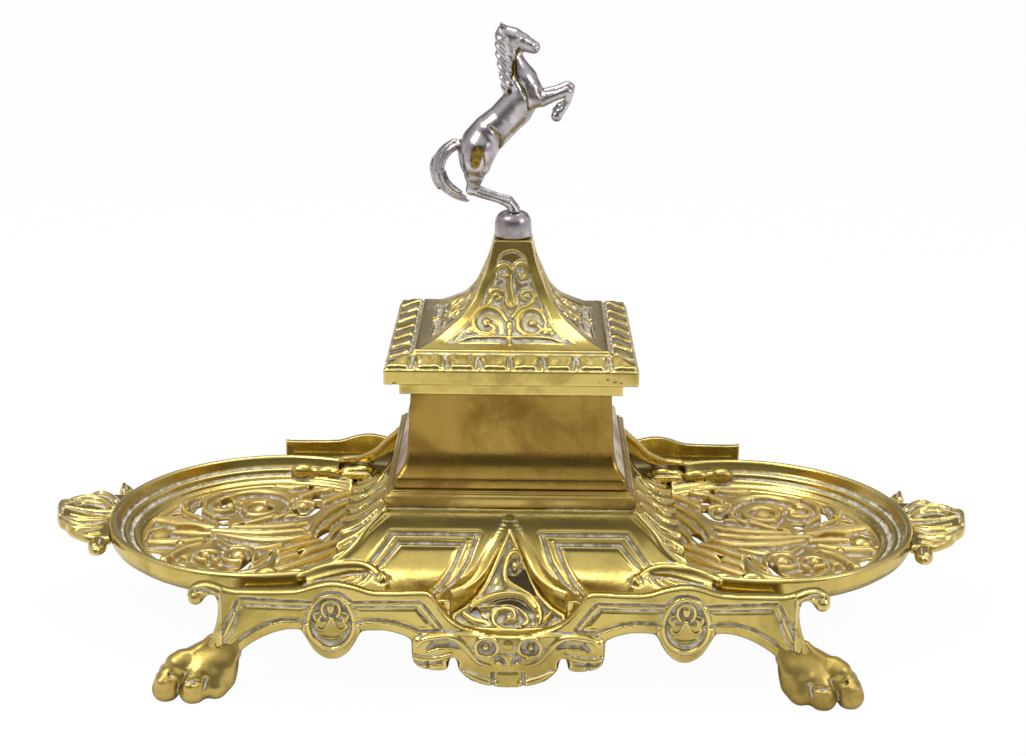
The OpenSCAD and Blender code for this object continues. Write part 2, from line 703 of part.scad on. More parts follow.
module front_right_paw() {
    color(brass) intersection() {
        union() {
            hull() {
                translate([ankle_x - 6.6, -apron_y, ankle_z - 0.01]) cube([13.2, apron_t, 0.01]);
                translate([ankle_x - 0.6, -apron_y + 1.2, 8]) sphere(r = 4.6, $fn = 24);
                translate([paw_at[0], paw_at[1], 6]) sphere(r = 5.6, $fn = 24);
            }
            hull() {
                translate([paw_at[0] - 3.6, paw_at[1] + 1.6, 0]) cylinder(r = 4.4, h = 5, $fn = 24);
                translate([paw_at[0] + 3, paw_at[1] - 2.2, 0]) cylinder(r = 4.6, h = 4, $fn = 24);
            }
            for (i = [0:3]) translate([paw_at[0], paw_at[1], 0]) rotate([0, 0, paw_turn[i]]) {
                translate([paw_reach - 2.4, 0, 7.4]) sphere(r = knuckle_r);
                translate([paw_reach + 2, 0, toe_r]) sphere(r = toe_r);
                translate([paw_reach - 2.4, 0, 7.4]) rotate([0, 135 - 4 * i, 0])
                    cylinder(r = toe_r - 0.4 - 0.15 * i, h = 6.2);
            }
        }
        translate([ankle_x - 20, -apron_y - 20, 0]) cube([50, 40, ankle_z]);
    }
}

module screw(r, head_r, h, head_h) {
    cylinder(r = head_r, h = head_h);
    translate([0, 0, -h]) cylinder(r = r, h = h + head_h / 2);
}

module apron_screws() {
    color(steel) both_y() for (x = [apron_lug_x, -apron_lug_x, 30, -30])
        translate([x, -cove_end_y + 2.6, apron_screw_z]) rotate([-90, 0, 0])
            screw(1 - 2 * seam, 1.9, 4, 1.2);
}

module tray_screws() {
    color(steel) both_x() both_y()
        translate([tray_screw_at[0], tray_screw_at[1], rim_seat_z - 2.2]) mirror([0, 0, 1])
            screw(1 - 2 * seam, 1.9, 3.8, 1.2);
}

// plinth moulding: fillet, torus and fillet round an open middle
module box_plinth() {
    half = concat([[platform_h - 1.1, 0], [platform_h - 1, 0.9]],
        arc([platform_h - 2.2, 3.1], 2.1, -60, 60, 8),
        [[platform_h - 1.4, 5.2], [platform_h - 1.6, plinth_h]]);
    color(dull_brass) difference() {
        translate([0, 0, plinth_z]) square_turned(half);
        translate([-26, -26, plinth_z - past]) cube([52, 52, plinth_h + 2 * past]);
        both_x() both_y() translate([bolt_at, bolt_at, plinth_z - past])
            cylinder(r = bolt_r + seam, h = plinth_h + 2 * past);
    }
}

box_half = box_w / 2;
box_side = concat([[box_half + 5.1, 0], [box_half + 5.2, 1.2], [box_half + 4.9, 3.2]],
    arc([box_half + 5.8, 9.2], 5, 236, 196, 5),
    [[box_half + 0.6, 11], [box_half + 0.2, 18], [box_half, box_h]]);

module ink_box() {
    inner = box_half - box_wall;
    color(dull_brass) difference() {
        translate([0, 0, box_z]) square_turned(box_side);
        translate([-inner, -inner, box_z + box_floor]) cube([2 * inner, 2 * inner, box_h]);
        both_x() both_y() translate([bolt_at, bolt_at, box_z - past])
            cylinder(r = bolt_r - seam, h = 5 + past);
    }
}

module box_bolts() {
    color(steel) both_x() both_y() translate([bolt_at, bolt_at, platform_z - 3]) {
        mirror([0, 0, 1]) cylinder(r = 3, h = 2);
        translate([0, 0, -1]) cylinder(r = bolt_r - 2 * seam, h = 3 + plinth_h + 5.4);
    }
}

module barrel(x0) {
    translate([x0, hinge_y, hinge_z]) rotate([0, 90, 0]) difference() {
        cylinder(r = barrel_r, h = knuckle_l);
        translate([0, 0, -past]) cylinder(r = pin_r + pin_gap, h = knuckle_l + 2 * past);
    }
}

module box_collar() {
    half = collar_w / 2;
    color(brass) {
        difference() {
            translate([-half, -half, collar_z]) cube([collar_w, collar_w, collar_t]);
            translate([0, 0, collar_z - past]) cylinder(r = pot_r + move_gap, h = collar_t + 2 * past);
            translate([0, 0, collar_top - 2]) cylinder(r = pot_r + pot_flange + move_gap, h = 2 + past);
        }
        // fixed knuckles on arms that reach under the lid's rear edge
        both_x() {
            difference() {
                translate([knuckle_l / 2 + move_gap, half - past, hinge_z - barrel_r])
                    cube([knuckle_l, hinge_y - half + past, barrel_r - 0.6]);
                translate([0, hinge_y, hinge_z]) rotate([0, 90, 0])
                    cylinder(r = barrel_r - 0.2, h = 30);
            }
            barrel(knuckle_l / 2 + move_gap);
        }
    }
}

module ink_pot() {
    flange_t = 1.8;
    floor_z = box_z + box_floor + pot_air;
    color(glaze) rotate_extrude() polygon(concat(
        [[0, floor_z], [pot_r - 3, floor_z]],
        arc([pot_r - 3, floor_z + 3], 3, -80, 0, 5),
        [[pot_r, collar_top - 2], [pot_r + pot_flange, collar_top - 2]],
        [[pot_r + pot_flange, collar_top - 2 + flange_t], [pot_r - pot_wall, collar_top - 2 + flange_t]],
        arc([pot_r - pot_wall - 2, floor_z + pot_wall + 2], 2, 0, -90, 4),
        [[0, floor_z + pot_wall]]));
}

// height of the pagoda's hip above the lid's edge against its half width
pagoda_base = 31.5;
pagoda_rise = [[1, 2.8], [0.873, 3.5], [0.69, 5.2], [0.5, 8.2], [0.373, 10.3], [0.236, 15],
    [0.142, 20.6], [0.063, 25.7], [0, pagoda_h]];
function pagoda_half(inset) = [for (q = pagoda_rise)
    [pagoda_top_w / 2 + q[0] * (pagoda_base - pagoda_top_w / 2) - inset, q[1]]];

module pagoda() {
    translate([0, 0, lid_top]) square_turned(concat([[pagoda_base, -1]],
        curve(pagoda_half(0), 2)));
}

module lid_hollow() {
    top = pagoda_h - lid_roof;
    body = [for (q = curve(pagoda_half(lid_wall + 0.3), 2)) if (q[1] < top) q];
    last = body[len(body) - 1];
    translate([0, 0, lid_top]) square_turned(concat([[pagoda_base - lid_wall - 1, -lid_edge - past],
        [pagoda_base - lid_wall - 1, 0.4]], body, [[last[0], top]]));
}

// sloping band of slanted lobes between the lid's edge and the pagoda
module lobe_band() {
    band = [[lid_half, -1], [lid_half, 0], [lid_half - 0.6, 1.3], [pagoda_base + 3, 3.1],
        [pagoda_base + 0.6, 2.9], [pagoda_base - 1, 2.6]];
    pitch = (2 * lid_half - 8) / lobes;
    lobe_cut = 1.3;
    difference() {
        translate([0, 0, lid_top]) square_turned(band);
        for (side = [0:3]) rotate([0, 0, 90 * side]) for (i = [0:lobes])
            translate([-lid_half + 4 + pitch * i, -lid_half, lid_top + 1.9])
                rotate([0, 0, -20]) rotate([-84, 0, 0]) cylinder(r = lobe_cut, h = 15, center = true);
    }
}

// sunk field of one pagoda face, less the scrolls that stay raised in it
module face_field() {
    difference() {
        polygon(concat(curve([[25, 4.6], [19, 6.4], [13.4, 10], [9.6, 14.6], [6.4, 20], [4, 26.6]], 3),
            mirrored(curve([[25, 4.6], [19, 6.4], [13.4, 10], [9.6, 14.6], [6.4, 20], [4, 26.6]], 3))));
        both_x() {
            ribbon(volute([6.4, 9.2], 4, 1.2, 250, -120, 16), 1.2, 1.5, 1.2);
            translate([6.4, 9.2]) circle(r = 1.2);
            ribbon(curve([[1.2, 4.6], [1.6, 9], [1.4, 14], [2.2, 19], [2, 23]], 3), 1.8, 1.6, 1.4);
            translate([1.9, 22.4]) circle(r = 1.7);
            ribbon(curve([[8, 5.6], [12, 6.6], [16, 6], [20, 5]], 3), 1, 1.8, 1);
        }
    }
}

module face_relief() {
    depth = 0.5;
    intersection() {
        translate([0, 0, lid_top]) rotate([90, 0, 0]) linear_extrude(lid_half) face_field();
        difference() {
            translate([0, 0, lid_top]) square_turned(concat([[pagoda_base + 2, -1]],
                curve(pagoda_half(-1), 2)));
            translate([0, 0, lid_top]) square_turned(concat([[pagoda_base - depth, -2]],
                curve(pagoda_half(depth), 2)));
        }
    }
}

module lid() {
    color(brass) difference() {
        union() {
            translate([-lid_half, -lid_half, lid_z]) cube([lid_w, lid_w, lid_edge]);
            lobe_band();
            pagoda();
        }
        lid_hollow();
        for (side = [0:3]) rotate([0, 0, 90 * side]) face_relief();
        translate([0, 0, apex_z - lid_roof - past]) cylinder(r = stud_r + seam, h = lid_roof + 2 * past);
    }
}

module lid_hinge_leaf() {
    leaf_h = lid_edge - 0.4;
    color(brass) {
        difference() {
            translate([-knuckle_l / 2, lid_half, hinge_z + 0.2]) cube([knuckle_l, 1.6, leaf_h]);
            translate([0, hinge_y, hinge_z]) rotate([0, 90, 0])
                cylinder(r = barrel_r - 0.2, h = 30, center = true);
        }
        barrel(-knuckle_l / 2);
    }
}

module hinge_pin() {
    run = 3 * knuckle_l / 2 + move_gap;
    color(steel) translate([-run - 0.4, hinge_y, hinge_z]) rotate([0, 90, 0])
        cylinder(r = pin_r, h = 2 * run + 0.8);
}

module finial_base() {
    color(silver) {
        translate([0, 0, apex_z]) rotate_extrude() polygon(concat([[0, 0], [socket_r - 0.3, 0],
            [socket_r, 0.5], [socket_r, socket_h - 4]],
            ell([socket_r - 4.4, socket_h - 4], 4.4, 4, 0, 90, 8), [[0, socket_h]]));
        translate([0, 0, apex_z - lid_roof - nut_h - 1]) cylinder(r = stud_r, h = lid_roof + nut_h + 1.5);
    }
}

module finial_nut() {
    color(steel) translate([0, 0, apex_z - lid_roof - nut_h]) difference() {
        cylinder(r = nut_r, h = nut_h, $fn = 6);
        translate([0, 0, -past]) cylinder(r = stud_r + seam, h = nut_h + 2 * past);
    }
}

// limb or trunk: rings across the path, each station [x, z, half height, half width, y]
module limb(stations, sides = 12, steps = 2) {
    s = curve(stations, steps);
    n = len(s) - 1;
    pts = [for (i = [0:n]) let (v = s[min(i + 1, n)] - s[max(i - 1, 0)],
            d = [v[0], v[1]] / norm([v[0], v[1]]))
        for (k = [0:sides - 1]) let (a = 360 * k / sides)
            [s[i][0] - d[1] * s[i][2] * cos(a), s[i][4] + s[i][3] * sin(a),
            s[i][1] + d[0] * s[i][2] * cos(a)]];
    polyhedron(pts, tube_faces(n, sides));
}

module horse_body() {
    // trunk from rump to chest, then the neck up to the poll
    limb([[-13.4, 150.4, 3.2, 3, 0], [-12.4, 154.6, 6, 4.8, 0], [-9.4, 159.2, 6.6, 5.2, 0],
        [-5, 163.6, 6, 4.8, 0], [0, 168.4, 6.4, 5, 0], [2.6, 173, 6.2, 4.8, 0],
        [2.4, 177.6, 5, 3.8, 0], [0, 182.6, 4.6, 2.8, 0], [-2.2, 187.4, 4.2, 2.4, 0],
        [-3.4, 191.4, 2.6, 1.8, 0]], 14);
    // head
    limb([[-4.4, 192.2, 1.6, 1.4, 0], [-1.8, 190.2, 4, 2.3, 0], [1.6, 189, 3.6, 2.3, 0],
        [4.6, 188, 2.3, 1.6, 0], [6.8, 187.4, 1.9, 1.5, 0], [7.8, 187, 1, 0.9, 0]]);
    both_y() {
        // ear
        translate([-4, -1.3, 192]) rotate([0, -14, 0]) cylinder(r1 = 1.1, r2 = 0.3, h = 3, $fn = 12);
        // foreleg: upper arm, forearm and folded cannon with its hoof
        limb([[3.6, 170, 3.4, 2, -2.8], [8.6, 171, 2.4, 1.7, -3], [13, 172.4, 1.8, 1.4, -3],
            [16.6, 173.8, 1.7, 1.4, -3]], 10);
        limb([[17, 174.2, 1.6, 1.4, -3], [16.6, 171.4, 1.3, 1.2, -3], [14.8, 168.6, 1.1, 1, -3],
            [13.2, 167.2, 1.5, 1.4, -3], [13, 165.9, 1.3, 1.3, -3]], 10);
        // hind leg: thigh, cannon and hoof
        limb([[-10.4, 156.4, 5, 3, -2.8], [-11.6, 151.6, 4.8, 3, -3], [-12.2, 147.4, 3.2, 2.2, -2.8],
            [-12.6, 143.6, 2.2, 1.7, -2.6]], 12);
        limb([[-13.2, 143.6, 1.8, 1.6, -2.6], [-9.6, 141.4, 1.5, 1.3, -2.4],
            [-4.6, 139.8, 1.3, 1.2, -2.2], [-1.4, 138.8, 1.5, 1.3, -2]], 10);
        limb([[-2.4, 139.4, 1.3, 1.2, -2], [-0.4, 137.6, 1.4, 1.3, -2], [0.2, 135.4, 1.8, 1.7, -2]], 10);
    }
    // tail
    limb([[-15.4, 157.4, 1.2, 1.1, 0], [-19.4, 156, 1.7, 1.4, 0], [-22.8, 152.4, 2, 1.6, 0],
        [-23.4, 148, 2.3, 1.7, 0], [-20.8, 143.8, 2.1, 1.5, 0], [-17.4, 141, 1.5, 1.2, 0],
        [-14.6, 138.8, 0.5, 0.5, 0]], 10);
}

// modelled hoof line and ear line of the horse at its drawn size
horse_foot = 135.8;
module horse() {
    color(silver) translate([0, 0, apex_z + socket_h]) scale(horse_h / 59)
        difference() {
            translate([0, 0, -horse_foot]) horse_body();
            translate([0, 0, -9.9]) cube([60, 60, 20], center = true);
        }
}

centre_plate();
front_fret();
rotate([0, 0, 180]) front_fret();  // rear_fret
mirror([1, 0, 0]) right_rim();  // left_tray_rim
right_rim();  // right_tray_rim
mirror([1, 0, 0]) right_grille();  // left_tray_grille
right_grille();  // right_tray_grille
mirror([1, 0, 0]) right_leaf();  // left_tray_finial
right_leaf();  // right_tray_finial
front_apron();
rotate([0, 0, 180]) front_apron();  // rear_apron
mirror([1, 0, 0]) front_right_paw();  // front_left_paw
front_right_paw();
rotate([0, 0, 180]) front_right_paw();  // rear_left_paw
mirror([0, 1, 0]) front_right_paw();  // rear_right_paw
apron_screws();
tray_screws();
box_plinth();
ink_box();
box_collar();
box_bolts();
ink_pot();
lid();
lid_hinge_leaf();
hinge_pin();
finial_base();
horse();
finial_nut();
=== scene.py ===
import functools
import math
import bpy
import numpy as np
import openvdb as vdb
from mathutils import Matrix, Vector


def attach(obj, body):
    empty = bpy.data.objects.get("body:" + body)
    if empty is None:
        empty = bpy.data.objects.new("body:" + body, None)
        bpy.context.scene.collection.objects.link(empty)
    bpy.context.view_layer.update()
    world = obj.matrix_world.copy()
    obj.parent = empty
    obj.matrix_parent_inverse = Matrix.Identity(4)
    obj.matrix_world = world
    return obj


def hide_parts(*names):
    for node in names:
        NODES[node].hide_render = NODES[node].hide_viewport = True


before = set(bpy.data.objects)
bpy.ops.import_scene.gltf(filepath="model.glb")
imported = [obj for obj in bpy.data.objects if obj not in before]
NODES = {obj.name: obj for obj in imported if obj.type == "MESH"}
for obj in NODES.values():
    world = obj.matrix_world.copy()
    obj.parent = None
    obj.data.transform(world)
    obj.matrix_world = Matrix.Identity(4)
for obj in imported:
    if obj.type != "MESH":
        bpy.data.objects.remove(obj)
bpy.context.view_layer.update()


# Shapes are worked out in millimetres as signed distances on voxel grids, and turned into meshes.
# A relief r is a height over a face, in mm. Where a form repeats, it is made once and mirrored or turned.

# middle of the right tray
TRAY_X = 79.5


def axis(lo, hi, h):
    return (lo + h * np.arange(int(math.ceil((hi - lo) / h)) + 1)).astype(np.float32)


def grid(lo, hi, h):
    """Three open coordinate arrays that span the box from lo to hi."""
    x, y, z = (axis(a, b, h) for a, b in zip(lo, hi))
    return x[:, None, None], y[None, :, None], z[None, None, :]


def smin(a, b, k=0.5):
    t = np.clip(0.5 + 0.5 * (b - a) / k, 0, 1)
    return b + (a - b) * t - k * t * (1 - t)


def smax(a, b, k=0.5):
    return -smin(-a, -b, k)


def within(*shapes):
    """Distance to what all the shapes have in common."""
    return functools.reduce(np.maximum, shapes)


def chain(x, y, z, rod, far=30.0):
    """Signed distance to a rod through points (x, y, z, r) that tapers from one to the next."""
    best = np.full(np.broadcast(x, y, z).shape, far, np.float32)
    for a, b in zip(rod[:-1], rod[1:]):
        e = b[:3] - a[:3]
        t = np.clip(((x - a[0]) * e[0] + (y - a[1]) * e[1] + (z - a[2]) * e[2]) / (e @ e), 0, 1)
        q = np.sqrt((x - a[0] - t * e[0])**2 + (y - a[1] - t * e[1])**2 + (z - a[2] - t * e[2])**2)
        best = np.minimum(best, q - (a[3] + (b[3] - a[3]) * t))
    return best


def egg(x, y, z, centre, radii):
    """Rough signed distance to an ellipsoid."""
    q = [((a - c) / r)**2 for a, c, r in zip((x, y, z), centre, radii)]
    return (np.sqrt(q[0] + q[1] + q[2]) - 1) * min(radii)


def doubled(d):
    """The array with its mirror image on the far side of its last Y layer."""
    return np.concatenate([d, d[:, -2::-1]], 1)


def spline(p, n=6, closed=False):
    """Catmull-Rom curve through the points, each with any number of values."""
    p = np.array(p, float)
    q = np.vstack([p[-1:], p, p[:2]]) if closed else np.vstack([p[:1], p, p[-1:]])
    t = np.linspace(0, 1, n, endpoint=False)[:, None]
    out = []
    for i in range(len(q) - 3):
        a, b, c, d = q[i:i + 4]
        out.append(0.5 * (2 * b + (c - a) * t + (2 * a - 5 * b + 4 * c - d) * t**2 + (3 * b - a - 3 * c + d)
                    * t**3))
    return np.vstack(out + ([] if closed else [p[-1:]]))


def stroke(u, v, p, w=0.0):
    """Signed distance to a line through p whose half width is w, one value or one for each point."""
    p = np.array(p, float)
    w = np.interp(np.linspace(0, 1, len(p)), np.linspace(0, 1, np.size(w)), np.ravel(w))
    best = np.full(np.broadcast(u, v).shape, 99.0, np.float32)
    for a, b, wa, wb in zip(p[:-1], p[1:], w[:-1], w[1:]):
        e = b - a
        t = np.clip(((u - a[0]) * e[0] + (v - a[1]) * e[1]) / max(e @ e, 1e-9), 0, 1)
        best = np.minimum(best, np.hypot(u - a[0] - t * e[0], v - a[1] - t * e[1]) - (wa + (wb - wa) * t))
    return best


def bent(u, v, p, n, w=0.0):
    """Signed distance to a line of half width w along the smooth curve through p."""
    return stroke(u, v, spline(p, n), w)


def poly(u, v, p):
    """Signed distance to a closed outline, negative inside."""
    p = np.array(p, float)
    inside = np.zeros(np.broadcast(u, v).shape, bool)
    for a, b in zip(p, np.roll(p, -1, 0)):
        if a[1] != b[1]:
            cross = (v > min(a[1], b[1])) & (v <= max(a[1], b[1]))
            inside ^= cross & (u < a[0] + (v - a[1]) * (b[0] - a[0]) / (b[1] - a[1]))
    d = stroke(u, v, np.vstack([p, p[:1]]))
    return np.where(inside, -d, d)


def disc(u, v, c, r):
    return np.hypot(u - c[0], v - c[1]) - r


def dome(d, r, h):
    """Height of a raised shape with rounded shoulders of width r, from its signed distance."""
    t = np.clip(-d / r, 0, 1)
    return h * np.sqrt(t * (2 - t))


def ledge(d, r=0.35):
    """1 inside the shape, 0 outside, with a soft edge."""
    t = np.clip(0.5 - d / (2 * r), 0, 1)
    return t * t * (3 - 2 * t)


def volute(c, r0, r1, a0, a1, n=24):
    a = np.radians(np.linspace(a0, a1, n))
    r = np.linspace(r0, r1, n)
    return np.stack([c[0] + r * np.cos(a), c[1] + r * np.sin(a)], 1)


def flip(p):
    return [(-q[0],) + tuple(q[1:]) for q in p]


def picture(values, u0, v0, h, u, v):
    """Bilinear reading of a 2D array whose corner is (u0, v0)."""
    i = np.clip((u - u0) / h, 0, values.shape[0] - 1.001)
    j = np.clip((v - v0) / h, 0, values.shape[1] - 1.001)
    a, b = i.astype(np.int32), j.astype(np.int32)
    f, g = i - a, j - b
    return ((values[a, b] * (1 - g) + values[a, b + 1] * g) * (1 - f)
            + (values[a + 1, b] * (1 - g) + values[a + 1, b + 1] * g) * f)


def sample(d, p):
    """Trilinear reading of a 3D array at points in voxels."""
    p = np.clip(p, 0, np.array(d.shape) - 1.001)
    i = p.astype(np.int32)
    f = (p - i).astype(np.float32)
    out = 0
    for k in range(8):
        o = np.array([k & 1, k >> 1 & 1, k >> 2])
        w = np.prod(np.where(o, f, 1 - f), 1)
        j = i + o
        out = out + w * d[j[:, 0], j[:, 1], j[:, 2]]
    return out


def blur(a, r):
    for k in range(3):
        pad = [(0, 0)] * 3
        pad[k] = (r + 1, r)
        c = np.cumsum(np.pad(a, pad, "edge"), k, dtype=np.float32)
        n = a.shape[k]
        hi = [slice(None)] * 3
        lo = [slice(None)] * 3
        hi[k] = slice(2 * r + 1, 2 * r + 1 + n)
        lo[k] = slice(0, n)
        a = (c[tuple(hi)] - c[tuple(lo)]) / (2 * r + 1)
    return a


def to_mesh(name, points, faces, values, smooth=True):
    mesh = bpy.data.meshes.new(name)
    mesh.vertices.add(len(points))
    mesh.vertices.foreach_set("co", (np.asarray(points) * 0.001).astype(np.float32).ravel())
    faces = np.asarray(faces, np.int32)
    mesh.loops.add(faces.size)
    mesh.loops.foreach_set("vertex_index", faces.ravel())
    mesh.polygons.add(len(faces))
    mesh.polygons.foreach_set("loop_start", np.arange(0, faces.size, faces.shape[1], dtype=np.int32))
    mesh.update(calc_edges=True)
    mesh.polygons.foreach_set("use_smooth", np.full(len(faces), smooth))
    for key, value in values.items():
        mesh.attributes.new(key, "FLOAT", "POINT").data.foreach_set("value", value.astype(np.float32))
    return mesh


def solid(lo, h, d):
    """Points in mm, quads and hollowness of the zero surface of a distance array."""
    d = np.ascontiguousarray(d, np.float32)
    g = vdb.FloatGrid(3.0)
    g.copyFromArray(np.clip(d, -3, 3))
    p, q = g.convertToQuads()
    for _ in range(2):
        e = [sample(d, p + s) - sample(d, p - s) for s in 0.5 * np.eye(3)]
        n = np.stack(e, 1)
        step = (sample(d, p) / np.maximum((n * n).sum(1), 0.2 * h * h))[:, None] * n
        p = p - np.clip(step, -0.7, 0.7)
    near = np.clip(d, -1.2, 1.2)
    fine = -sample(blur(near, max(1, round(0.8 / h))), p)
    wide = -sample(blur(blur(np.clip(d, -3, 3), round(1.5 / h)), round(1.5 / h)), p)
    return p * h + np.array(lo), q, {"cav": fine, "wide": wide}


def piece(name, part, nodes, body="base", slot="brass", mat=None, turn=None, mirror=None):
    """An object from (points, faces, values) that stands for CAD nodes.

    It may be turned by degrees about Z, or mirrored along an axis."""
    p, q, values = part
    p = p.copy()
    if turn:
        a = math.radians(turn)
        p = p @ np.array([[math.cos(a), math.sin(a), 0], [-math.sin(a), math.cos(a), 0], [0, 0, 1]])
    if mirror is not None:
        p[:, mirror] *= -1
        q = q[:, ::-1]
    o = bpy.data.objects.new(name, to_mesh(name, p, q, values))
    bpy.context.scene.collection.objects.link(o)
    o.data.materials.append(mat)
    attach(o, body)
    for n in nodes:
        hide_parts(n)
    return o


def pair(name, part, node, **more):
    """A piece on the right and its mirror image on the left."""
    piece("right_" + name, part, ["right_" + node], **more)
    piece("left_" + name, part, ["left_" + node], mirror=0, **more)


# Materials


class Nodes:
    """Short spellings for the nodes of one tree."""

    def __init__(self, tree):
        self.t = tree

    def add(self, kind, **values):
        """A node of the kind with its input values, where _ stands for a space."""
        n = self.t.nodes.new("ShaderNode" + kind)
        for key, value in values.items():
            n.inputs[key.replace("_", " ")].default_value = value
        return n

    def put(self, socket, value):
        if isinstance(value, bpy.types.NodeSocket):
            self.t.links.new(value, socket)
        else:
            socket.default_value = value if not isinstance(value, tuple) or len(value) == 4 else value + (1,)

    def split(self, vector):
        """The X, Y and Z of a vector."""
        n = self.add("SeparateXYZ")
        self.put(n.inputs[0], vector)
        return n.outputs

    def map(self, x, a, b, c=0.0, d=1.0, kind="SMOOTHSTEP"):
        """x from a..b to c..d, smoothed and kept within."""
        n = self.add("MapRange", From_Min=a, From_Max=b, To_Min=c, To_Max=d)
        n.interpolation_type = kind
        self.put(n.inputs["Value"], x)
        return n.outputs["Result"]

    def math(self, op, a, b=0.0):
        n = self.add("Math")
        n.operation = op
        self.put(n.inputs[0], a)
        self.put(n.inputs[1], b)
        return n.outputs[0]

    def mix(self, f, a, b):
        n = self.add("Mix")
        n.data_type = "RGBA"
        for key, value in (("Factor", f), ("A", a), ("B", b)):
            self.put(n.inputs[key], value)
        return n.outputs["Result"]


class Shader(Nodes):
    """A material with its Principled shader and the object's own coordinates."""

    def __init__(self, name):
        self.mat = bpy.data.materials.new(name)
        self.mat.use_nodes = True
        super().__init__(self.mat.node_tree)
        self.bsdf = self.t.nodes["Principled BSDF"]
        self.where = self.add("TexCoord").outputs["Object"]

    def attribute(self, name):
        n = self.add("Attribute")
        n.attribute_name = name
        return n.outputs["Fac"]

    def noise(self, scale, detail=4.0, rough=0.55, stretch=(1, 1, 1), warp=0.0):
        m = self.add("Mapping", Scale=stretch)
        self.put(m.inputs["Vector"], self.where)
        n = self.add("TexNoise", Scale=scale, Detail=detail, Roughness=rough, Distortion=warp)
        self.put(n.inputs["Vector"], m.outputs[0])
        return n.outputs["Fac"]

    def set(self, key, value):
        self.put(self.bsdf.inputs[key], value)

    def bump(self, height, distance, strength=0.5):
        n = self.add("Bump", Strength=strength, Distance=distance)
        self.put(n.inputs["Height"], height)
        self.put(self.bsdf.inputs["Normal"], n.outputs[0])


def srgb(r, g, b):
    """Linear colour with alpha from display values of 0 to 255."""
    parts = [v / 255 for v in (r, g, b)]
    return tuple(c / 12.92 if c <= 0.04045 else ((c + 0.055) / 1.055)**2.4 for c in parts) + (1.0,)


def brass(name, light, deep, residue=1.0, rough=0.16, mottle=0.5, streak=0.0):
    """Cast brass: tarnish in soft clouds, pale polish residue in the hollows, painted shade in the wide
    hollows and a painted highlight on the edges.
    """
    s = Shader(name)
    cav, wide = s.attribute("cav"), s.attribute("wide")
    clouds = s.noise(45, 5, 0.6, warp=0.6)
    specks = s.noise(420, 6, 0.65)
    colour = s.mix(s.math("MULTIPLY", s.map(clouds, 0.38, 0.66), mottle), light, deep)
    if streak:
        lines = s.noise(70, 6, 0.7, stretch=(1, 1, 0.12), warp=0.4)
        colour = s.mix(s.math("MULTIPLY", s.map(lines, 0.42, 0.68), streak), colour, srgb(104, 78, 36))
    # painted shade: the wide hollows are darkened towards a deep brown
    hollow = s.map(s.math("ADD", wide, s.math("MULTIPLY", clouds, 0.12)), 0.1, 0.5)
    colour = s.mix(s.math("MULTIPLY", hollow, 0.55), colour, srgb(112, 86, 34))
    fill = s.math("ADD", cav, s.math("MULTIPLY", s.math("SUBTRACT", specks, 0.5), 0.16))
    dust = s.math("MULTIPLY", s.map(fill, 0.055, 0.17), residue)
    colour = s.mix(dust, colour, s.mix(s.map(specks, 0.4, 0.62), srgb(150, 148, 134), srgb(214, 211, 200)))
    # painted highlight: the convex edges are lightened towards a cream highlight colour
    edge = s.map(s.math("MULTIPLY", cav, -1), 0.05, 0.22)
    colour = s.mix(s.math("MULTIPLY", edge, 0.5), colour, srgb(246, 226, 150))
    s.set("Base Color", colour)
    s.set("Metallic", s.map(dust, 0, 1, 1.0, 0.12))
    wear = s.map(clouds, 0.35, 0.7, rough * 0.75, rough * 1.7)
    s.set("Roughness", s.math("MAXIMUM", wear, s.map(dust, 0, 1, 0.05, 0.75)))
    grain = s.math("ADD", s.math("MULTIPLY", s.noise(230, 5, 0.6), 0.7), s.math("MULTIPLY", specks, 0.3))
    s.bump(grain, 0.00035, 0.35)
    return s.mat


YELLOW, OLIVE = srgb(206, 184, 104), srgb(154, 134, 66)
BRASS = brass("polished_brass", YELLOW, OLIVE, 1.0, 0.22, 0.75)
PIERCED = brass("pierced_brass", srgb(200, 176, 108), srgb(166, 140, 82), 1.2, 0.4, 0.7)
DULL = brass("dull_brass", srgb(194, 170, 94), srgb(146, 120, 58), 1.0, 0.4, 0.8, 0.2)
BOXED = brass("aged_brass", srgb(166, 136, 64), srgb(132, 100, 42), 0.6, 0.24, 0.9, 0.25)


def silver():
    """Worn silver plate: bright on the rounds, brass showing in the creases."""
    s = Shader("worn_silver_plate")
    cav, wide = s.attribute("cav"), s.attribute("wide")
    clouds, specks = s.noise(120, 5, 0.6, warp=0.5), s.noise(700, 5, 0.6)
    colour = s.mix(s.map(clouds, 0.4, 0.62), srgb(200, 196, 196), srgb(158, 150, 148))
    fill = s.math("ADD", s.math("ADD", cav, s.math("MULTIPLY", wide, 0.35)), s.math("MULTIPLY", clouds, 0.16))
    crease = s.map(fill, 0.15, 0.34)
    colour = s.mix(crease, colour, s.mix(s.map(specks, 0.4, 0.6), srgb(148, 128, 58), srgb(104, 86, 36)))
    s.set("Base Color", colour)
    s.set("Metallic", 1.0)
    s.set("Roughness", s.map(clouds, 0.35, 0.7, 0.17, 0.34))
    s.bump(s.math("ADD", clouds, s.math("MULTIPLY", specks, 0.25)), 0.0003, 0.3)
    return s.mat


def glaze():
    s = Shader("white_glaze")
    clouds = s.noise(60, 4, 0.5)
    s.set("Base Color", s.mix(s.map(clouds, 0.35, 0.7), srgb(236, 234, 226), srgb(222, 218, 206)))
    s.set("Roughness", s.map(clouds, 0.3, 0.7, 0.08, 0.16))
    s.set("Coat Weight", 0.4)
    s.bump(clouds, 0.0002, 0.3)
    return s.mat


def steel():
    s = Shader("brushed_steel")
    clouds, lines = s.noise(150, 5, 0.6), s.noise(300, 5, 0.6, stretch=(1, 1, 0.1))
    s.set("Base Color", s.mix(s.map(clouds, 0.38, 0.66), srgb(172, 170, 166), srgb(120, 112, 100)))
    s.set("Metallic", 1.0)
    s.set("Roughness", s.map(lines, 0.3, 0.7, 0.24, 0.46))
    s.bump(lines, 0.0003, 0.3)
    return s.mat


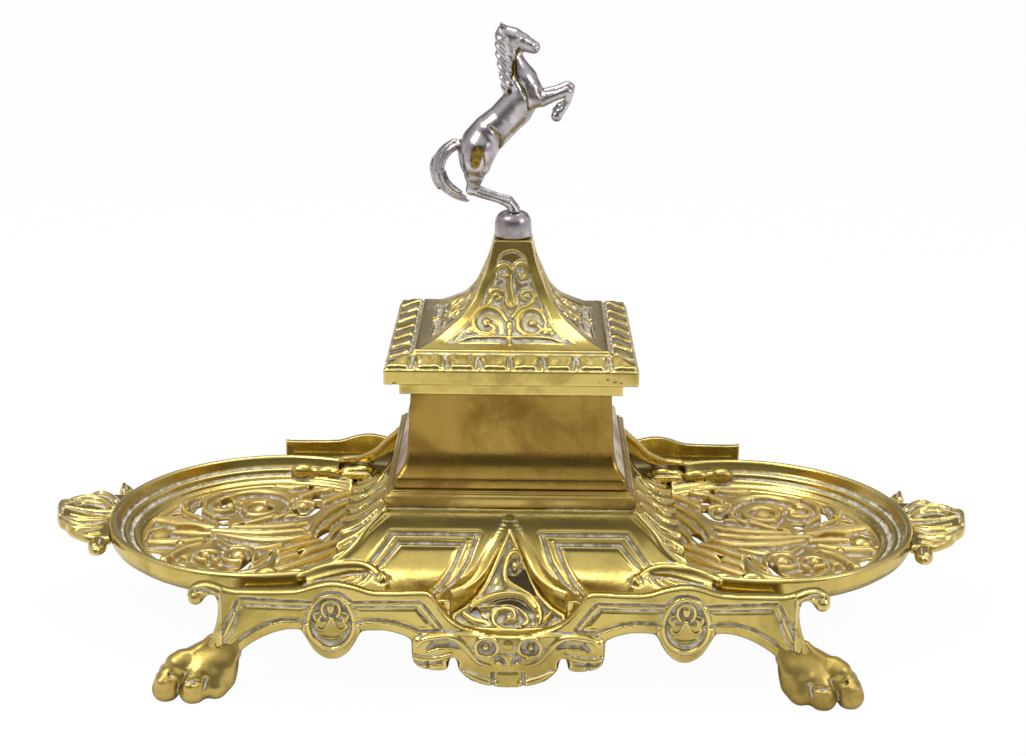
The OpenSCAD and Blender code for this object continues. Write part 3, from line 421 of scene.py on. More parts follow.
SILVER, GLAZE, STEEL = silver(), glaze(), steel()


def lid():
    """Pagoda lid: moulded edge, band of lobes and darts, concave faces with scrolls in a sunk field."""
    h = 0.34
    lo, hi = (-40.2, -40.2, 88.9), (40.2, 40.2, 129)
    x, y, z = grid(lo, hi, h)
    top = [(39, 95.0), (31.5, 97.8), (28.3, 98.5), (23.8, 100.2), (18.9, 103.2), (15.6, 105.6),
            (12.1, 110.0), (9.7, 115.6), (7.7, 120.7), (6.1, 127.2), (6.05, 127.4)]
    line = np.vstack([top[:2], spline(top[1:], 5)])
    uu, zz = axis(0, 42, h)[:, None], axis(lo[2], hi[2], h)[None, :]
    arc, best, s_of = 0.0, np.full((uu.size, zz.size), 99.0, np.float32), np.zeros((uu.size, zz.size),
            np.float32)
    for a, b in zip(line[:-1], line[1:]):
        e = b - a
        length = math.hypot(*e)
        if length < 1e-6:
            continue
        t = np.clip(((uu - a[0]) * e[0] + (zz - a[1]) * e[1]) / length**2, 0, 1)
        d = np.hypot(uu - a[0] - t * e[0], zz - a[1] - t * e[1])
        near = d < best
        best, s_of = np.where(near, d, best), np.where(near, arc + t * length, s_of)
        arc += length
    outer = poly(uu, zz, [(-5, 89.7), (38.7, 89.7), (39, 90.1), (39, 95)] + [tuple(q) for q in line[1:]]
            + [(-5, 127.4)])
    inner = poly(uu, zz, [(-5, 80), (28.5, 80), (28.5, 95.6), (25.6, 96.4), (20, 99.6), (15.4, 103),
                (11.5, 107.4), (8.6, 112.4), (6.6, 118), (5, 124.2), (-5, 124.2)])
    # relief as a picture over (t, s): t along a side, s up the profile
    t, s = axis(-40, 40, 0.25)[:, None], axis(0, 52, 0.25)[None, :]
    field = poly(t, s, spline([(-20.5, 14), (-17, 18.5), (-15, 21), (-12.5, 25), (-10, 30), (-8, 34.5),
                    (-6, 38), (-5, 42), (-3.6, 45.6), (0.3, 46.8), (3.8, 44.6), (4.7, 42), (6, 38),
                    (7.5, 34), (10, 29), (12.2, 24), (15, 19), (19.5, 14)], 3))
    r = -0.75 * ledge(field, 0.3)
    bead = bent(t, s, [(-17.5, 16), (-14.4, 20.6), (-11.7, 25.2), (-9.2, 30), (-7.3, 34.5), (-5.6, 38)], 4,
            0.3)
    bead = np.minimum(bead, bent(t, s, [(16.5, 16.4), (14.2, 19.6), (11.4, 24.6), (9.2, 29), (6.9, 34),
                    (5.5, 37.6)], 4, 0.3))
    scrolls = [([(-8.2, 22.4), (-6.4, 22.2), (-5.6, 20.4), (-7.5, 18.7), (-10.6, 19.7), (-12.2, 23),
                    (-11.4, 26.3), (-8.8, 28.6), (-5.6, 28.3), (-3.2, 26.6), (-1.8, 24.4)],
                [0.9, 1.3, 1.3, 0.9]), ([(-9.2, 28.2), (-7.4, 29.8), (-6.6, 31.6), (-6.9, 33.4),
                    (-5.4, 34.6), (-3.6, 33.6), (-3.5, 32), (-4.8, 31.4)], [1.1, 0.9, 0.8, 0.7]),
            ([(6.6, 22.2), (8.4, 22), (8.8, 20), (6.4, 18.4), (3.6, 19.2), (1.9, 21.6), (2, 25),
                    (4.4, 27.9), (7.6, 28), (10, 25.8), (10.5, 22.6), (9.2, 19.6)],
                [0.5, 0.9, 1.25, 1.0, 0.6]), ([(0.4, 25.6), (2.4, 28.3), (5, 29.4), (6.4, 31), (6.2, 33),
                    (4.8, 34.2), (3, 33.4), (2.9, 31.8), (4.2, 31.2)], [1.2, 1.0, 0.8, 0.7]),
            ([(-5.2, 38.4), (-5.4, 40.4), (-3.8, 42.2), (-1.8, 42), (-0.6, 40.4), (-1.6, 38.8),
                    (-3.2, 39.2)], [0.7, 1.1, 0.6]), ([(0.2, 40.2), (1.2, 42.4), (3, 43), (4.4, 41.4),
                    (4.2, 39), (2.8, 38.2), (2.2, 39.6)], [0.7, 1.1, 0.6]),
            ([(-1, 41), (-1, 36), (-0.4, 32), (0.2, 29.2)], [1.2, 1.1, 1.4, 0.9]),
            ([(-3.4, 35.4), (-2.4, 33), (-1.8, 30.4), (-0.2, 28.8), (1.6, 30), (1.4, 32)], [0.5, 0.7, 0.6]),
            ([(-16.6, 15), (-12.8, 16.9), (-6, 17.4), (-0.6, 17.2), (6, 17.4), (11.8, 16.9), (16, 15)],
                [0.4, 0.9, 0.8, 0.9, 0.4]), ([(-19, 13.9), (-9.6, 14.4), (-3.4, 14.2)], [0.35, 0.5, 0.4]),
            ([(3.6, 14.2), (9.4, 14.4), (18.4, 13.9)], [0.35, 0.5, 0.4]),
            ([(-0.6, 13.6), (-0.8, 17.4), (-0.8, 20)], [1.1, 0.9, 1.2])]
    for p, w in scrolls:
        d = bent(t, s, p, 5, w)
        r = np.maximum(r, -0.75 + dome(d, max(w) * 1.05, 0.95))
    for c, rad, high in (((-8.0, 23.6), 1.7, 1.2), ((6.5, 23.2), 1.6, 1.2), ((-5.1, 32.7), 1.1, 0.9),
            ((4.5, 32.4), 1.0, 0.9), ((-12.9, 20.3), 2.0, 0.8), ((11.3, 20.4), 2.0, 0.8),
            ((-0.8, 22.4), 1.35, 1.1)):
        d = disc(t, (s - c[1]) * (0.6 if c[0] == -0.8 else 1) + c[1], c, rad)
        r = np.maximum(r, -0.75 + dome(d, rad, high))
    r = np.maximum(r, np.where(field < 0, -0.75 + dome(bead, 0.35, 0.55), -9))
    # step between the plain skirt and the band, and the bright fillet on it
    r = r - 0.5 * ledge(s - 9.1, 0.25) + dome(np.abs(s - 9.7) - 0.5, 0.5, 0.28)
    lobes = np.full(r.shape, 9.0, np.float32)
    for c in (-35.2, -25.2, -15.2, -5.3, 4.5, 14.6, 24.8, 34.9):
        skew = (s - 4) * 0.06 * np.sign(c)
        half = 3.7 + 0.12 * s
        lobes = np.minimum(lobes, smax(np.abs(t - c - skew) - half, smax(0.5 - s, s - 7.9, 0.8), 1.2))
    band = dome(lobes, 1.3, 1.25) + 0.25 * dome(np.abs(s - 1.1) - 0.7, 0.7, 1) * (lobes < 0)
    dart = np.full(r.shape, 9.0, np.float32)
    for c in (-30, -20.4, -10.1, -0.5, 9.5, 19.6, 29.9):
        dart = np.minimum(dart, np.abs(t - c - 0.3 * np.sin(c))
                - np.interp(s, [0, 1, 6, 7], [0.3, 0.75, 0.2, -1]))
    band = np.maximum(band, dome(dart, 0.6, 0.8))
    ripple = 0.12 * np.sin(1.7 * t + 0.8 * np.sin(0.9 * s)) * np.sin(0.6 * t)
    r = r + (band - 0.45 + ripple) * ledge(s - 8.1, 0.25) * ledge(0.1 - s, 0.3)
    side = np.abs(x) > np.abs(y)
    u = np.maximum(np.abs(x), np.abs(y))
    along = np.where(side, y * np.sign(x), -x * np.sign(y))
    u = u + 0.25 * np.maximum(0, 0.8 - np.abs(np.abs(x) - np.abs(y)))**2 * 0.6
    shape = np.broadcast(x, y, z).shape
    U = np.broadcast_to(u, shape)
    Z = np.broadcast_to(z, shape)
    d = picture(outer, 0, lo[2], h, U, Z)
    near = np.abs(d) < 2.2
    sv = picture(s_of, 0, lo[2], h, U[near], Z[near])
    tv = np.broadcast_to(along, shape)[near]
    flat = picture(r.astype(np.float32), -40, 0, 0.25, tv, sv)
    fade = np.clip((Z[near] - 94.2) / 0.8, 0, 1)
    d[near] -= flat * fade
    d = smax(d, -picture(inner, 0, lo[2], h, U, Z), 0.4)
    d = np.maximum(d, 1.55 - np.hypot(x, y))
    # shallow casting pits on the front edge
    for px, pz, pr in ((31.6, 91.8, 0.5), (33.4, 91.3, 0.35), (29.4, 92.4, 0.4), (26.8, 91.6, 0.3),
            (-35.6, 90.1, 0.7)):
        d = np.maximum(d, pr - np.sqrt((x - px)**2 + (y + 39.1)**2 + (z - pz)**2))
    p, q, values = solid(lo, h, d)
    # polish residue lies all over the sunk field
    side = np.abs(p[:, 0]) > np.abs(p[:, 1])
    along = np.where(side, p[:, 1] * np.sign(p[:, 0]), -p[:, 0] * np.sign(p[:, 1]))
    up = picture(s_of, 0, lo[2], h, np.maximum(np.abs(p[:, 0]), np.abs(p[:, 1])), p[:, 2])
    sunk = picture((ledge(r + 0.5, 0.2) * (field < 0.4)).astype(np.float32), -40, 0, 0.25, along, up)
    values["cav"] = values["cav"] + 0.11 * sunk * (p[:, 2] > 97)
    return p, q, values


piece("lid_casting", lid(), ["lid"], "lid", "brass", BRASS)


def apron():
    """Front apron with its legs and corner buds; front face at y = -68."""
    h = 0.36
    lo, hi = (-98, -71.6, 0.4), (98, -63.6, 38.4)
    x, y, z = grid(lo, hi, h)
    u, v = x[:, :, 0], z[0]
    half = [(0, 20.3), (6.8, 21), (13.3, 22.5), (17.9, 25.6), (20.8, 29.4), (22.8, 32.9), (25.2, 34.1),
            (31, 33.9), (38.8, 33.7), (42.6, 34.3), (45.7, 35.4), (51.4, 36.6), (55.4, 36.5), (59.4, 35.5),
            (64, 34.1), (73, 33.8), (82, 33.8), (85.4, 34.6), (88.4, 35.8), (91.6, 36.3), (94.6, 35.4),
            (96.2, 33.2), (96, 30.6), (94.4, 29.2), (92.4, 29.5), (91.3, 31), (90, 32.2), (88.2, 31.8),
            (87.2, 29), (87.8, 24), (89.6, 18.6), (92.4, 15.2), (96.2, 12.6), (83, 9), (82.6, 11.4),
            (80.8, 13.8), (77.5, 16.4), (73.8, 18.6), (70, 20.2), (66, 21.1), (62.8, 21), (61.4, 19.6),
            (60.4, 17.2), (58.6, 14.4), (56, 12.4), (53.4, 11.7), (50.6, 12.3), (48, 14.4), (46, 17.6),
            (44.8, 20.2), (42.5, 20.9), (37.5, 21), (33.8, 20.2), (30.6, 19), (29.2, 17.8), (29.2, 15.2),
            (28.8, 12), (27.8, 10), (25, 8.7), (20.6, 8.4), (18.3, 9.2), (17.8, 10.9), (16.8, 12),
            (15.6, 11), (15.1, 9.2), (14, 7.4), (11.3, 5.2), (8.1, 4.2), (4.4, 3.6), (0, 3.1)]
    half = [tuple(q) for q in spline(half, 2)]
    edge = poly(u, v, half + flip(half)[::-1][1:])
    m = np.abs(u) + 0 * v
    w = v + 0 * u
    r = np.zeros(edge.shape, np.float32)
    # broad rounded border, then the residue-filled double line, then the flat panel
    r += 0.5 * ledge(edge + 0.9, 0.9) - 0.9
    r = np.maximum(r, -0.9 + dome(edge, 1.6, 1.0))

    def line(p, wide=0.55, deep=1.0):
        return -deep * np.clip(-stroke(m, w, p, wide) / wide, 0, 1)**0.6

    cuts = 0
    for p in ([(80.4, 31.5), (70, 30.9), (58.6, 30.4), (57.9, 31.4), (56.2, 33), (53.4, 33.8), (50.4, 33.4),
                (48.4, 31.8), (46.9, 30.5), (40, 30.6), (26.8, 30.9), (25.4, 29.8), (22.6, 26), (20, 22.2)],
            [(20.3, 21.9), (23, 21.5), (26.6, 21.2), (29.6, 22.6), (34, 24.1), (39, 24.8), (43.6, 24.5),
                (45.6, 23.8)], [(60.6, 24), (64, 24.6), (68, 24.6), (72, 23.6), (76, 21.6), (80, 18.8),
                (84, 15.2), (86.6, 12.4)], [(81.4, 30.6), (82.8, 27.4), (84.6, 23.6), (87, 18.4),
                (89.8, 13.6)]):
        cuts = cuts + line(p, 0.5, 1.0)
    for p in ([(79.2, 29.5), (68, 29.1), (59.4, 28.9)], [(46.4, 29), (38, 29.1), (27.6, 29.3), (25.2, 26.4),
                (22.2, 22.7)], [(80, 29), (81.6, 25.6), (83.6, 21.4), (86, 16.8)]):
        cuts = cuts + line(p, 0.35, 0.5)
    r = r + cuts
    # panel faces stand a little proud, with a bright upper edge
    for p in ([(28, 28.8), (45.6, 28.6), (45.4, 25.4), (38, 25.4), (31, 24.6), (27.4, 22.6), (23.4, 22.8)],
            [(60.4, 28.6), (79, 29), (80.6, 26), (84.6, 17), (80, 20), (74, 23.6), (67, 25.6),
                (61.4, 25.4)]):
        r = r + 0.45 * ledge(poly(m, w, p) + 0.3, 0.5)
    # roundel: pendant rim, dished ground, trefoil with its drop and lotus
    rim = poly(m, w, spline([(62.2, 21), (60.6, 18), (58.4, 14.4), (55.6, 12.3), (53.3, 11.8), (51, 12.3),
                    (48.2, 14.4), (46, 18), (44.4, 21), (45.6, 25), (46.6, 29), (49, 32), (53.4, 33.2),
                    (57.8, 32), (60, 29), (61.2, 25)], 3, True))
    ring = poly(m, w, spline([(59.4, 24), (58.7, 20.4), (56.4, 17.6), (53.3, 16.4), (50.2, 17.6),
                    (48, 20.4), (47.3, 24), (48.6, 28.4), (50.6, 31), (53.4, 31.8), (56.2, 31),
                    (58.2, 28.4)], 3, True))
    r = np.where(rim < 0, np.maximum(-0.3, r), r) + 0.9 * ledge(rim, 0.4) * (w < 24)
    r = r - 1.25 * ledge(ring, 0.4) + dome(np.abs(ring - 0.9) - 0.7, 0.7, 0.5)
    trefoil = [([(56.9, 24.4), (58, 22.6), (56.2, 21.2), (54.6, 22.6), (53.3, 24.8), (52, 22.6),
                    (50.4, 21.2), (48.7, 22.6), (49.8, 24.4)],
                [0.7, 1.0, 0.9, 0.8, 0.9, 0.8, 0.9, 1.0, 0.7]),
            ([(51.6, 25.6), (50.7, 27.4), (51.2, 29.8), (53.3, 31), (55.5, 29.8), (56, 27.4), (55, 25.6)],
                [0.75, 0.8, 0.75]), ([(50.2, 25.6), (48.7, 24.6), (48.3, 26.4), (49.7, 26.9)],
                [0.6, 0.7, 0.5]), ([(56.4, 25.6), (58, 24.6), (58.4, 26.4), (57, 26.9)], [0.6, 0.7, 0.5]),
            ([(49.6, 19.9), (51.4, 18.9), (53.4, 18.6), (55.4, 18.9), (57, 19.9)], [0.4, 0.7, 0.4])]
    for p, wide in trefoil:
        r = np.maximum(r, -1.2 + dome(bent(m, w, p, 5, wide), max(wide), 1.35) * (ring < 0.6) - 9
                * (ring > 0.6))
    oval = np.hypot((m - 53.4) * 1.5, w - 28.4) - 2.2
    r = np.maximum(r, np.where(oval < 0, -1.2 + dome(oval, 1.6, 1.6), -9))
    spike = poly(m, w, [(51.6, 19.6), (53.4, 24.2), (55.2, 19.6)])
    r = np.maximum(r, np.where(spike < 0, -1.2 + dome(spike, 0.7, 0.7), -9))
    # cartouche: pillowed shield with sunk lenses, round eyes and a beaded boss
    shield = poly(m, w, spline([(-6, 20.4), (6, 20.6), (12, 20.9), (17, 21), (22, 20.6), (26, 19.8),
                    (29.2, 18.2), (29.2, 14), (28.4, 10.6), (25, 8.8), (20.6, 8.4), (18.3, 9.2),
                    (16.8, 12.1), (15.1, 9.2), (11.3, 5.2), (5, 3.6), (-5, 3.4)], 2))
    low = poly(m, w, [(-5, 20), (10, 20), (14, 22), (31, 20), (31, 7), (16, 2), (-5, 2)])
    r = np.where(low < 0, np.maximum(r, -0.3), r)
    r = r + 1.1 * ledge(shield, 0.6) * (w < 22)

    def groove(deep, soft, p, n, wide):
        nonlocal r
        r = r - deep * ledge(bent(m, w, p, n, wide), soft)

    def raised(high, shoulder, p, n, wide):
        nonlocal r
        r = r + high * dome(bent(m, w, p, n, wide), shoulder, 1)

    groove(1.5, 0.4, [(14.6, 16.6), (18, 17.9), (21.6, 17.6), (24.4, 15.8)], 5, [0.3, 1.3, 1.5, 1.1, 0.4])
    raised(0.6, 1.1, [(27.4, 17), (25.2, 19.4), (20, 20.2), (15, 18.7), (11.6, 15), (9, 12), (5.4, 10.6)],
            5, [0.5, 1.1, 1.2, 0.9, 0.4])
    raised(0.7, 0.9, [(28.4, 13.2), (24, 12.6), (19.6, 13.4), (17, 14.6)], 5, [1.0, 0.9, 0.4])
    groove(0.8, 0.3, [(27.2, 11.2), (24.2, 11), (20.4, 11.5)], 4, 0.45)
    r = r - 1.0 * ledge(stroke(m, w, [(24.2, 9), (24.3, 12)], 0.35), 0.25)
    notch = disc(m, w, (16.7, 11.2), 1.7)
    r = r - 1.6 * ledge(notch, 0.4)
    eye = disc(m, w, (6.5, 16.6), 2.6)
    r = r - 1.7 * ledge(eye, 0.4) + dome(disc(m, w, (6.9, 16.2), 1.3), 1.3, 1.0)
    r = r + 0.6 * dome(np.abs(eye - 0.7) - 0.7, 0.7, 1) * (w > 14)
    groove(1.2, 0.3, [(1.3, 11.6), (2.6, 12.9), (3.8, 12.2)], 4, [0.5, 0.9, 0.5])
    r = r - 0.7 * ledge(stroke(m, w, [(0.0, 14.3), (3.2, 14.5), (5, 13.2)], [0.35, 0.3]), 0.25)
    raised(0.9, 1.2, [(13.6, 8.8), (10, 6.7), (6.4, 5.2), (3.6, 4.8)], 4, [0.6, 1.3, 1.2])
    bead = np.hypot(m, (w - 17.4) * 1.25) - 2.1
    r = np.maximum(r, np.where(bead < 0, 0.5 + dome(bead, 1.7, 1.3), -9))
    boss = smax(m - 3.9, np.abs(w - 6.1) - 3, 1.0)
    r = np.maximum(r, np.where(boss < 0, -0.2 + dome(boss, 1.4, 1.9), -9))
    r = r - 0.9 * ledge(np.abs(m - 4.7) - 0.45, 0.25) * (w < 8.6)
    # corner bud: curled ball
    ball = np.hypot(m - 93.9, w - 31.5)
    r = np.where(m > 85.8, np.maximum(r, -0.6 + dome(edge, 2.2, 1.4)), r)
    r = r - 0.9 * ledge(bent(m, w, [(87.2, 31.6), (89.4, 33.4), (91.4, 34.3), (93.6, 34)], 5, 0.45),
            0.3) * (m > 84)
    r = np.maximum(r, np.where(ball < 2.3, -0.4 + dome(ball - 2.3, 2.3, 2.2), -9))
    # leg: a swelling ridge down its middle
    leg = bent(m, w, [(82.8, 26), (85.6, 20), (87.4, 16.6)], 4, [1.2, 2.2, 1.0])
    r = r + dome(leg, 2.6, 1.1)
    r = np.clip(r, -1.9, 2.1)
    hole = disc(m, w, (16.8, 11.9), 0.85)
    front = -y - 68 - r[:, None, :]
    back = y + 65.05
    d = smax(front, smax(edge[:, None, :], back, 0.5), 0.7)
    d = smax(d, -hole[:, None, :], 0.3)
    plain = smin(np.abs(x) - 83.8, z - 23, 0.6)
    return solid(lo, h, d), solid(lo, h, smax(d, plain, 0.5))


front_apron, rear_apron = apron()
piece("front_apron_casting", front_apron, ["front_apron"], mat=BRASS)
piece("rear_apron_casting", rear_apron, ["rear_apron"], mat=BRASS, turn=180)


def leaf(u, v, p, w, high, n=5, vein=0.4):
    """Raised tapered leaf with a sunk vein along its middle."""
    c = spline(p, n)
    d = stroke(u, v, c, w)
    out = dome(d, max(np.ravel(w)), high)
    if vein:
        out = out - vein * ledge(stroke(u, v, c, 0.22), 0.22) * (d < -0.25)
    return out


# the coves' cylinder: axis at y = -COVE_V, z = COVE_Z, and radius; the frets' upper right edge in plan
COVE_V, COVE_Z, COVE_R = 62.0, 52.56, 23.06
FRET_SIDE = [(0.4, 40.4), (2.6, 42.8), (4.9, 46), (7.4, 50), (10.2, 53.4), (13.6, 56.4), (17.6, 58.8)]


def unrolled(p):
    """Plan points (x, v) on the cove as (x, arc length up from its foot)."""
    return [(a, COVE_R * math.asin(min(1, (COVE_V - b) / COVE_R))) for a, b in p]


def centre_plate():
    """Right half of the centre plate: coves, shoulders with foliage, hips and tongues round the platform."""
    h = 0.42
    lo, hi = (-1.05, -66.36, 20.4), (82.6, 0, 49.2)
    x, y, z = grid(lo, hi, h)
    u, v = x[:, :, 0], -y[0, :, 0][None, :]

    # cove relief over plan (x, v)
    arc = axis(-4, 37, 0.3)[None, :]
    rc = np.zeros((u.size, arc.size), np.float32)
    for p in ([(20.6, 58.8), (17, 53.5), (13, 47), (10, 41.5), (36.4, 41.5), (43, 47.3)],
            [(23.6, 59), (20.4, 53.8), (17.5, 48.5), (14.5, 43), (34.4, 43), (40.2, 48.1)]):
        d = stroke(u, arc, unrolled(p))
        rc = rc - 0.75 * ledge(d - 0.45, 0.25) + 0.25 * ledge(np.abs(d - 1.05) - 0.35, 0.35)
    pan = poly(u, arc, unrolled([(24.4, 60), (17.8, 48.5), (15.6, 43.8), (34, 43.8), (39.4, 48.6), (37, 60)]))
    rc = rc - 0.25 * ledge(pan + 0.6, 0.5)
    plan = poly(u, v, [(-9, 52), (-2.6, 42.8), (0, 41.5)] + FRET_SIDE[1:] + [(18, 70), (-9, 70)])
    lip = poly(u, arc, unrolled([(-9, 52), (-2.6, 42.8), (-0.4, 40.4)] + FRET_SIDE + [(18, 61.9)])
            + [(18, -9), (-9, -9)])
    rc = rc + 0.6 * dome(np.abs(lip - 1.8) - 1.8, 1.8, 1) * np.clip((26 - arc) / 6, 0, 1)
    for p, w in (([(43.6, 50.4), (49, 50.7), (55, 52.0), (60, 53.4)], [0.3, 0.8, 0.6, 0.3]),
            ([(44.2, 51.6), (46, 53.8), (48.6, 55.6)], [0.5, 0.4]),
            ([(46.6, 51.8), (49, 53.8), (52, 55)], [0.5, 0.4])):
        rc = rc - 0.9 * ledge(bent(u, arc, unrolled(p), 5, w), 0.3)
    for p in ([(42.8, 50.8), (44.4, 53.8), (47.4, 56)], [(45, 51.4), (47.4, 54), (50.6, 55.8)],
            [(47.6, 51.6), (50.6, 53.6), (54.6, 54.8)]):
        rc = rc + dome(bent(u, arc, unrolled(p), 5, [0.4, 0.6, 0.2]), 0.6, 0.6)

    r = np.hypot(y + COVE_V, z - COVE_Z)
    at = COVE_R * np.arctan2(y + COVE_V, np.maximum(COVE_Z - z, 0.01))[0]
    j = np.clip((at + 4) / 0.3, 0, arc.size - 1.001)
    i = j.astype(np.int32)
    rc = rc[:, i] * (1 - (j - i)) + rc[:, i + 1] * (j - i)
    cove = np.maximum(COVE_R - r - rc, r - COVE_R - 2.2)
    hip_line = [(36, 36), (39.4, 39.2), (44.4, 40.9), (48.1, 43.4), (53.8, 47.2), (57.4, 48.6), (64, 50.6),
            (66, 52)]
    cove_plan = poly(u, v, [(-9, 38.6)] + hip_line + [(64, 50.2), (62.4, 52), (62.4, 65), (-9, 65)])
    cove = np.maximum(cove, cove_plan[:, :, None])
    cove = smax(cove, -plan[:, :, None], 0.9)
    fr = 88 - np.sqrt(np.maximum(0, 52.9**2 - (z - 66.8)**2))
    wall = np.maximum(np.abs(plan - 0.75) - 0.75, (v - 65) + 0 * u)[:, :, None]
    wall = np.maximum(wall, np.maximum(COVE_R - r - 0.3, (fr + y) * 0.7 - 1.4))
    wall = np.maximum(wall, 19.6 - z)
    d = smin(cove, wall, 0.8)

    # shoulder with its foliage, over plan (x, v)
    rf = np.zeros((u.size, v.size), np.float32)
    band = bent(u, v, hip_line[1:], 4)
    below = poly(u, v, [(30, -9), (30, 36)] + hip_line + [(70, 52), (70, -9)])
    foliage = [([(46, 35.2), (50, 39.0), (54.4, 42.6), (60, 45.4)], [0.6, 1.7, 1.8, 0.9], 1.3),
            ([(50.6, 31.2), (47.6, 30.4), (45.6, 32), (47.0, 34.4), (51, 35.2), (55.4, 38), (60, 42)],
                [0.8, 1.1, 1.4, 1.5, 0.9], 1.5), ([(43.2, 25), (47.6, 27.6), (52.6, 28.6), (56.6, 31.6),
                    (60, 36.4)], [0.6, 1.9, 2.0, 1.0], 1.4),
            ([(43.6, 15.4), (48, 18.8), (53, 20.2), (57.4, 23), (61, 28)], [0.6, 2.0, 2.1, 1.1], 1.4),
            ([(44, 5.6), (48.6, 8.6), (53.6, 9.8), (58, 13), (61, 17)], [0.6, 1.9, 2.0, 1.0], 1.4),
            ([(45, 0), (50, 0.8), (56, 1), (60, 1)], [0.6, 1.6, 1.6, 0.9], 1.3),
            ([(53.8, 24.8), (51, 23.6), (49.4, 25), (50.6, 26.6), (53.4, 26.2)], [0.8, 0.9, 0.6], 1.3),
            ([(54.6, 15.6), (52, 14.4), (50.4, 15.6), (51.8, 17.2)], [0.8, 0.8, 0.5], 1.2)]
    ground = ledge(4.4 - band, 0.5) * ledge(42.6 - u + 0.05 * (v - 20), 1.6)
    rf = rf - 0.8 * ground
    for p, w, high in foliage:
        rf = np.maximum(rf, (leaf(u, v, p, w, high + 0.1, vein=0.12) - 0.8) * (ground > 0.3) + rf
                * (ground <= 0.3))
    for c, rad in (((49.4, 32.4), 1.0), ((47.6, 24), 0.8), ((51.6, 33.4), 0.7), ((46.4, 18.6), 0.8),
            ((50, 14.4), 0.7)):
        rf = rf - 1.1 * ledge(disc(u, v, c, rad), 0.4)
    rf = rf - 0.4 * ledge(np.abs(band - 4.0) - 0.4, 0.3) * (u > 41) + 0.3 * ledge(np.abs(band - 5.4) - 0.5,
            0.5) * (u > 43)
    fx = np.hypot(x - 63, z - 48.9)
    flare = np.maximum(23.7 - fx - rf[:, :, None], fx - 25.9)
    flare = np.maximum(flare, np.maximum(below, np.maximum(38.4 - u, u - 57.2))[:, :, None])
    d = smin(d, flare, 0.5)

    # platform, hip bead, deck and seat
    top = smax(smax(np.maximum(x, -y) - 39.3, z - 48.5, 0.5), 45.4 - z, 0.3)
    d = smin(d, np.maximum(top, 9 - np.hypot(x, y)), 0.4)
    crest = spline([(39.2, 39.0, 48.0), (44.4, 40.9, 43.0), (48.1, 43.4, 38.5), (53.8, 47.2, 34.5),
                (57.4, 48.7, 33.3), (60.4, 49.6, 32.7)], 4)

    def rope(p, w):
        w = np.interp(np.linspace(0, 1, len(p)), np.linspace(0, 1, len(w)), w)
        return chain(x, -y, z, np.column_stack([p, w]), 9.0)

    d = smin(d, rope(crest, [1.0, 1.0, 1.1, 1.2]), 1.1)
    ridge = spline([(64.4, 51.6, 31.5), (62, 50.5, 31.9), (55, 48.4, 33.5), (48, 47.7, 34.1),
                (43.4, 48.5, 33.5), (40.6, 50.4, 32.2), (39.6, 52.2, 31.3)], 4)
    d = smin(d, rope(ridge, [1.5, 1.5, 1.3, 1.1, 1.1, 1.2]), 0.6)
    # hollow face under the tongue
    under = spline([(62.6, 54.2, 33.2), (56, 51.9, 34.4), (48.4, 51.4, 34.9), (43.4, 52.2, 34.3)], 4)
    d = smax(d, -rope(under, [1.9, 2.2, 1.9, 1.0]), 0.5)
    nub = np.sqrt((x - 38.9)**2 + (y + 52.6)**2 + (z - 31.3)**2) - 2.0
    nub = nub + 0.35 * np.sin(2.4 * x + 0.6) * np.sin(2.2 * y) * np.clip(1 - nub, 0, 1)
    d = smin(d, nub, 0.8)
    tray = np.hypot(x - TRAY_X, y)
    beside_tray = np.minimum(54.6 - tray, np.maximum(x - 60.8, 42.6 + y))
    deck = within(50.6 - x, x - 81, -y - 65, z - 29.7, 27.5 - z, beside_tray)
    for centre, radii in (((53.4, -46.4, 30.0), (4.6, 2.4, 2.0)), ((58.6, -45.8, 29.6), (3.2, 2.2, 1.8))):
        deck = smin(deck, egg(x, y, z, centre, radii), 0.5)
    d = smin(d, deck, 0.4)
    seat = within(46.4 - tray, tray - 56.4, z - 24, 21.8 - z, 50 - x, 40 + y)
    edge = within(54.1 - tray, tray - 56.4, z - 29.5, 21.8 - z, 50 - x, 40 + y)
    d = np.minimum(d, np.maximum(np.minimum(seat, edge), x - 81.5))
    d = np.minimum(d, within(54 - x, x - 59, 20.8 - z, z - 22.8, -y - 35))
    d = doubled(d)
    p, q, values = solid(lo, h, d)
    q = q[p[q][:, :, 0].mean(1) > 0.1]
    p[:, 0] = np.where(p[:, 0] < 0.21, 0, p[:, 0])
    used = np.unique(q)
    new = np.zeros(len(p), np.int64)
    new[used] = np.arange(len(used))
    return p[used], new[q], {k: a[used] for k, a in values.items()}


half_plate = centre_plate()
piece("centre_plate_right", half_plate, ["centre_plate"], mat=BRASS)
piece("centre_plate_left", half_plate, ["centre_plate"], mat=BRASS, mirror=0)


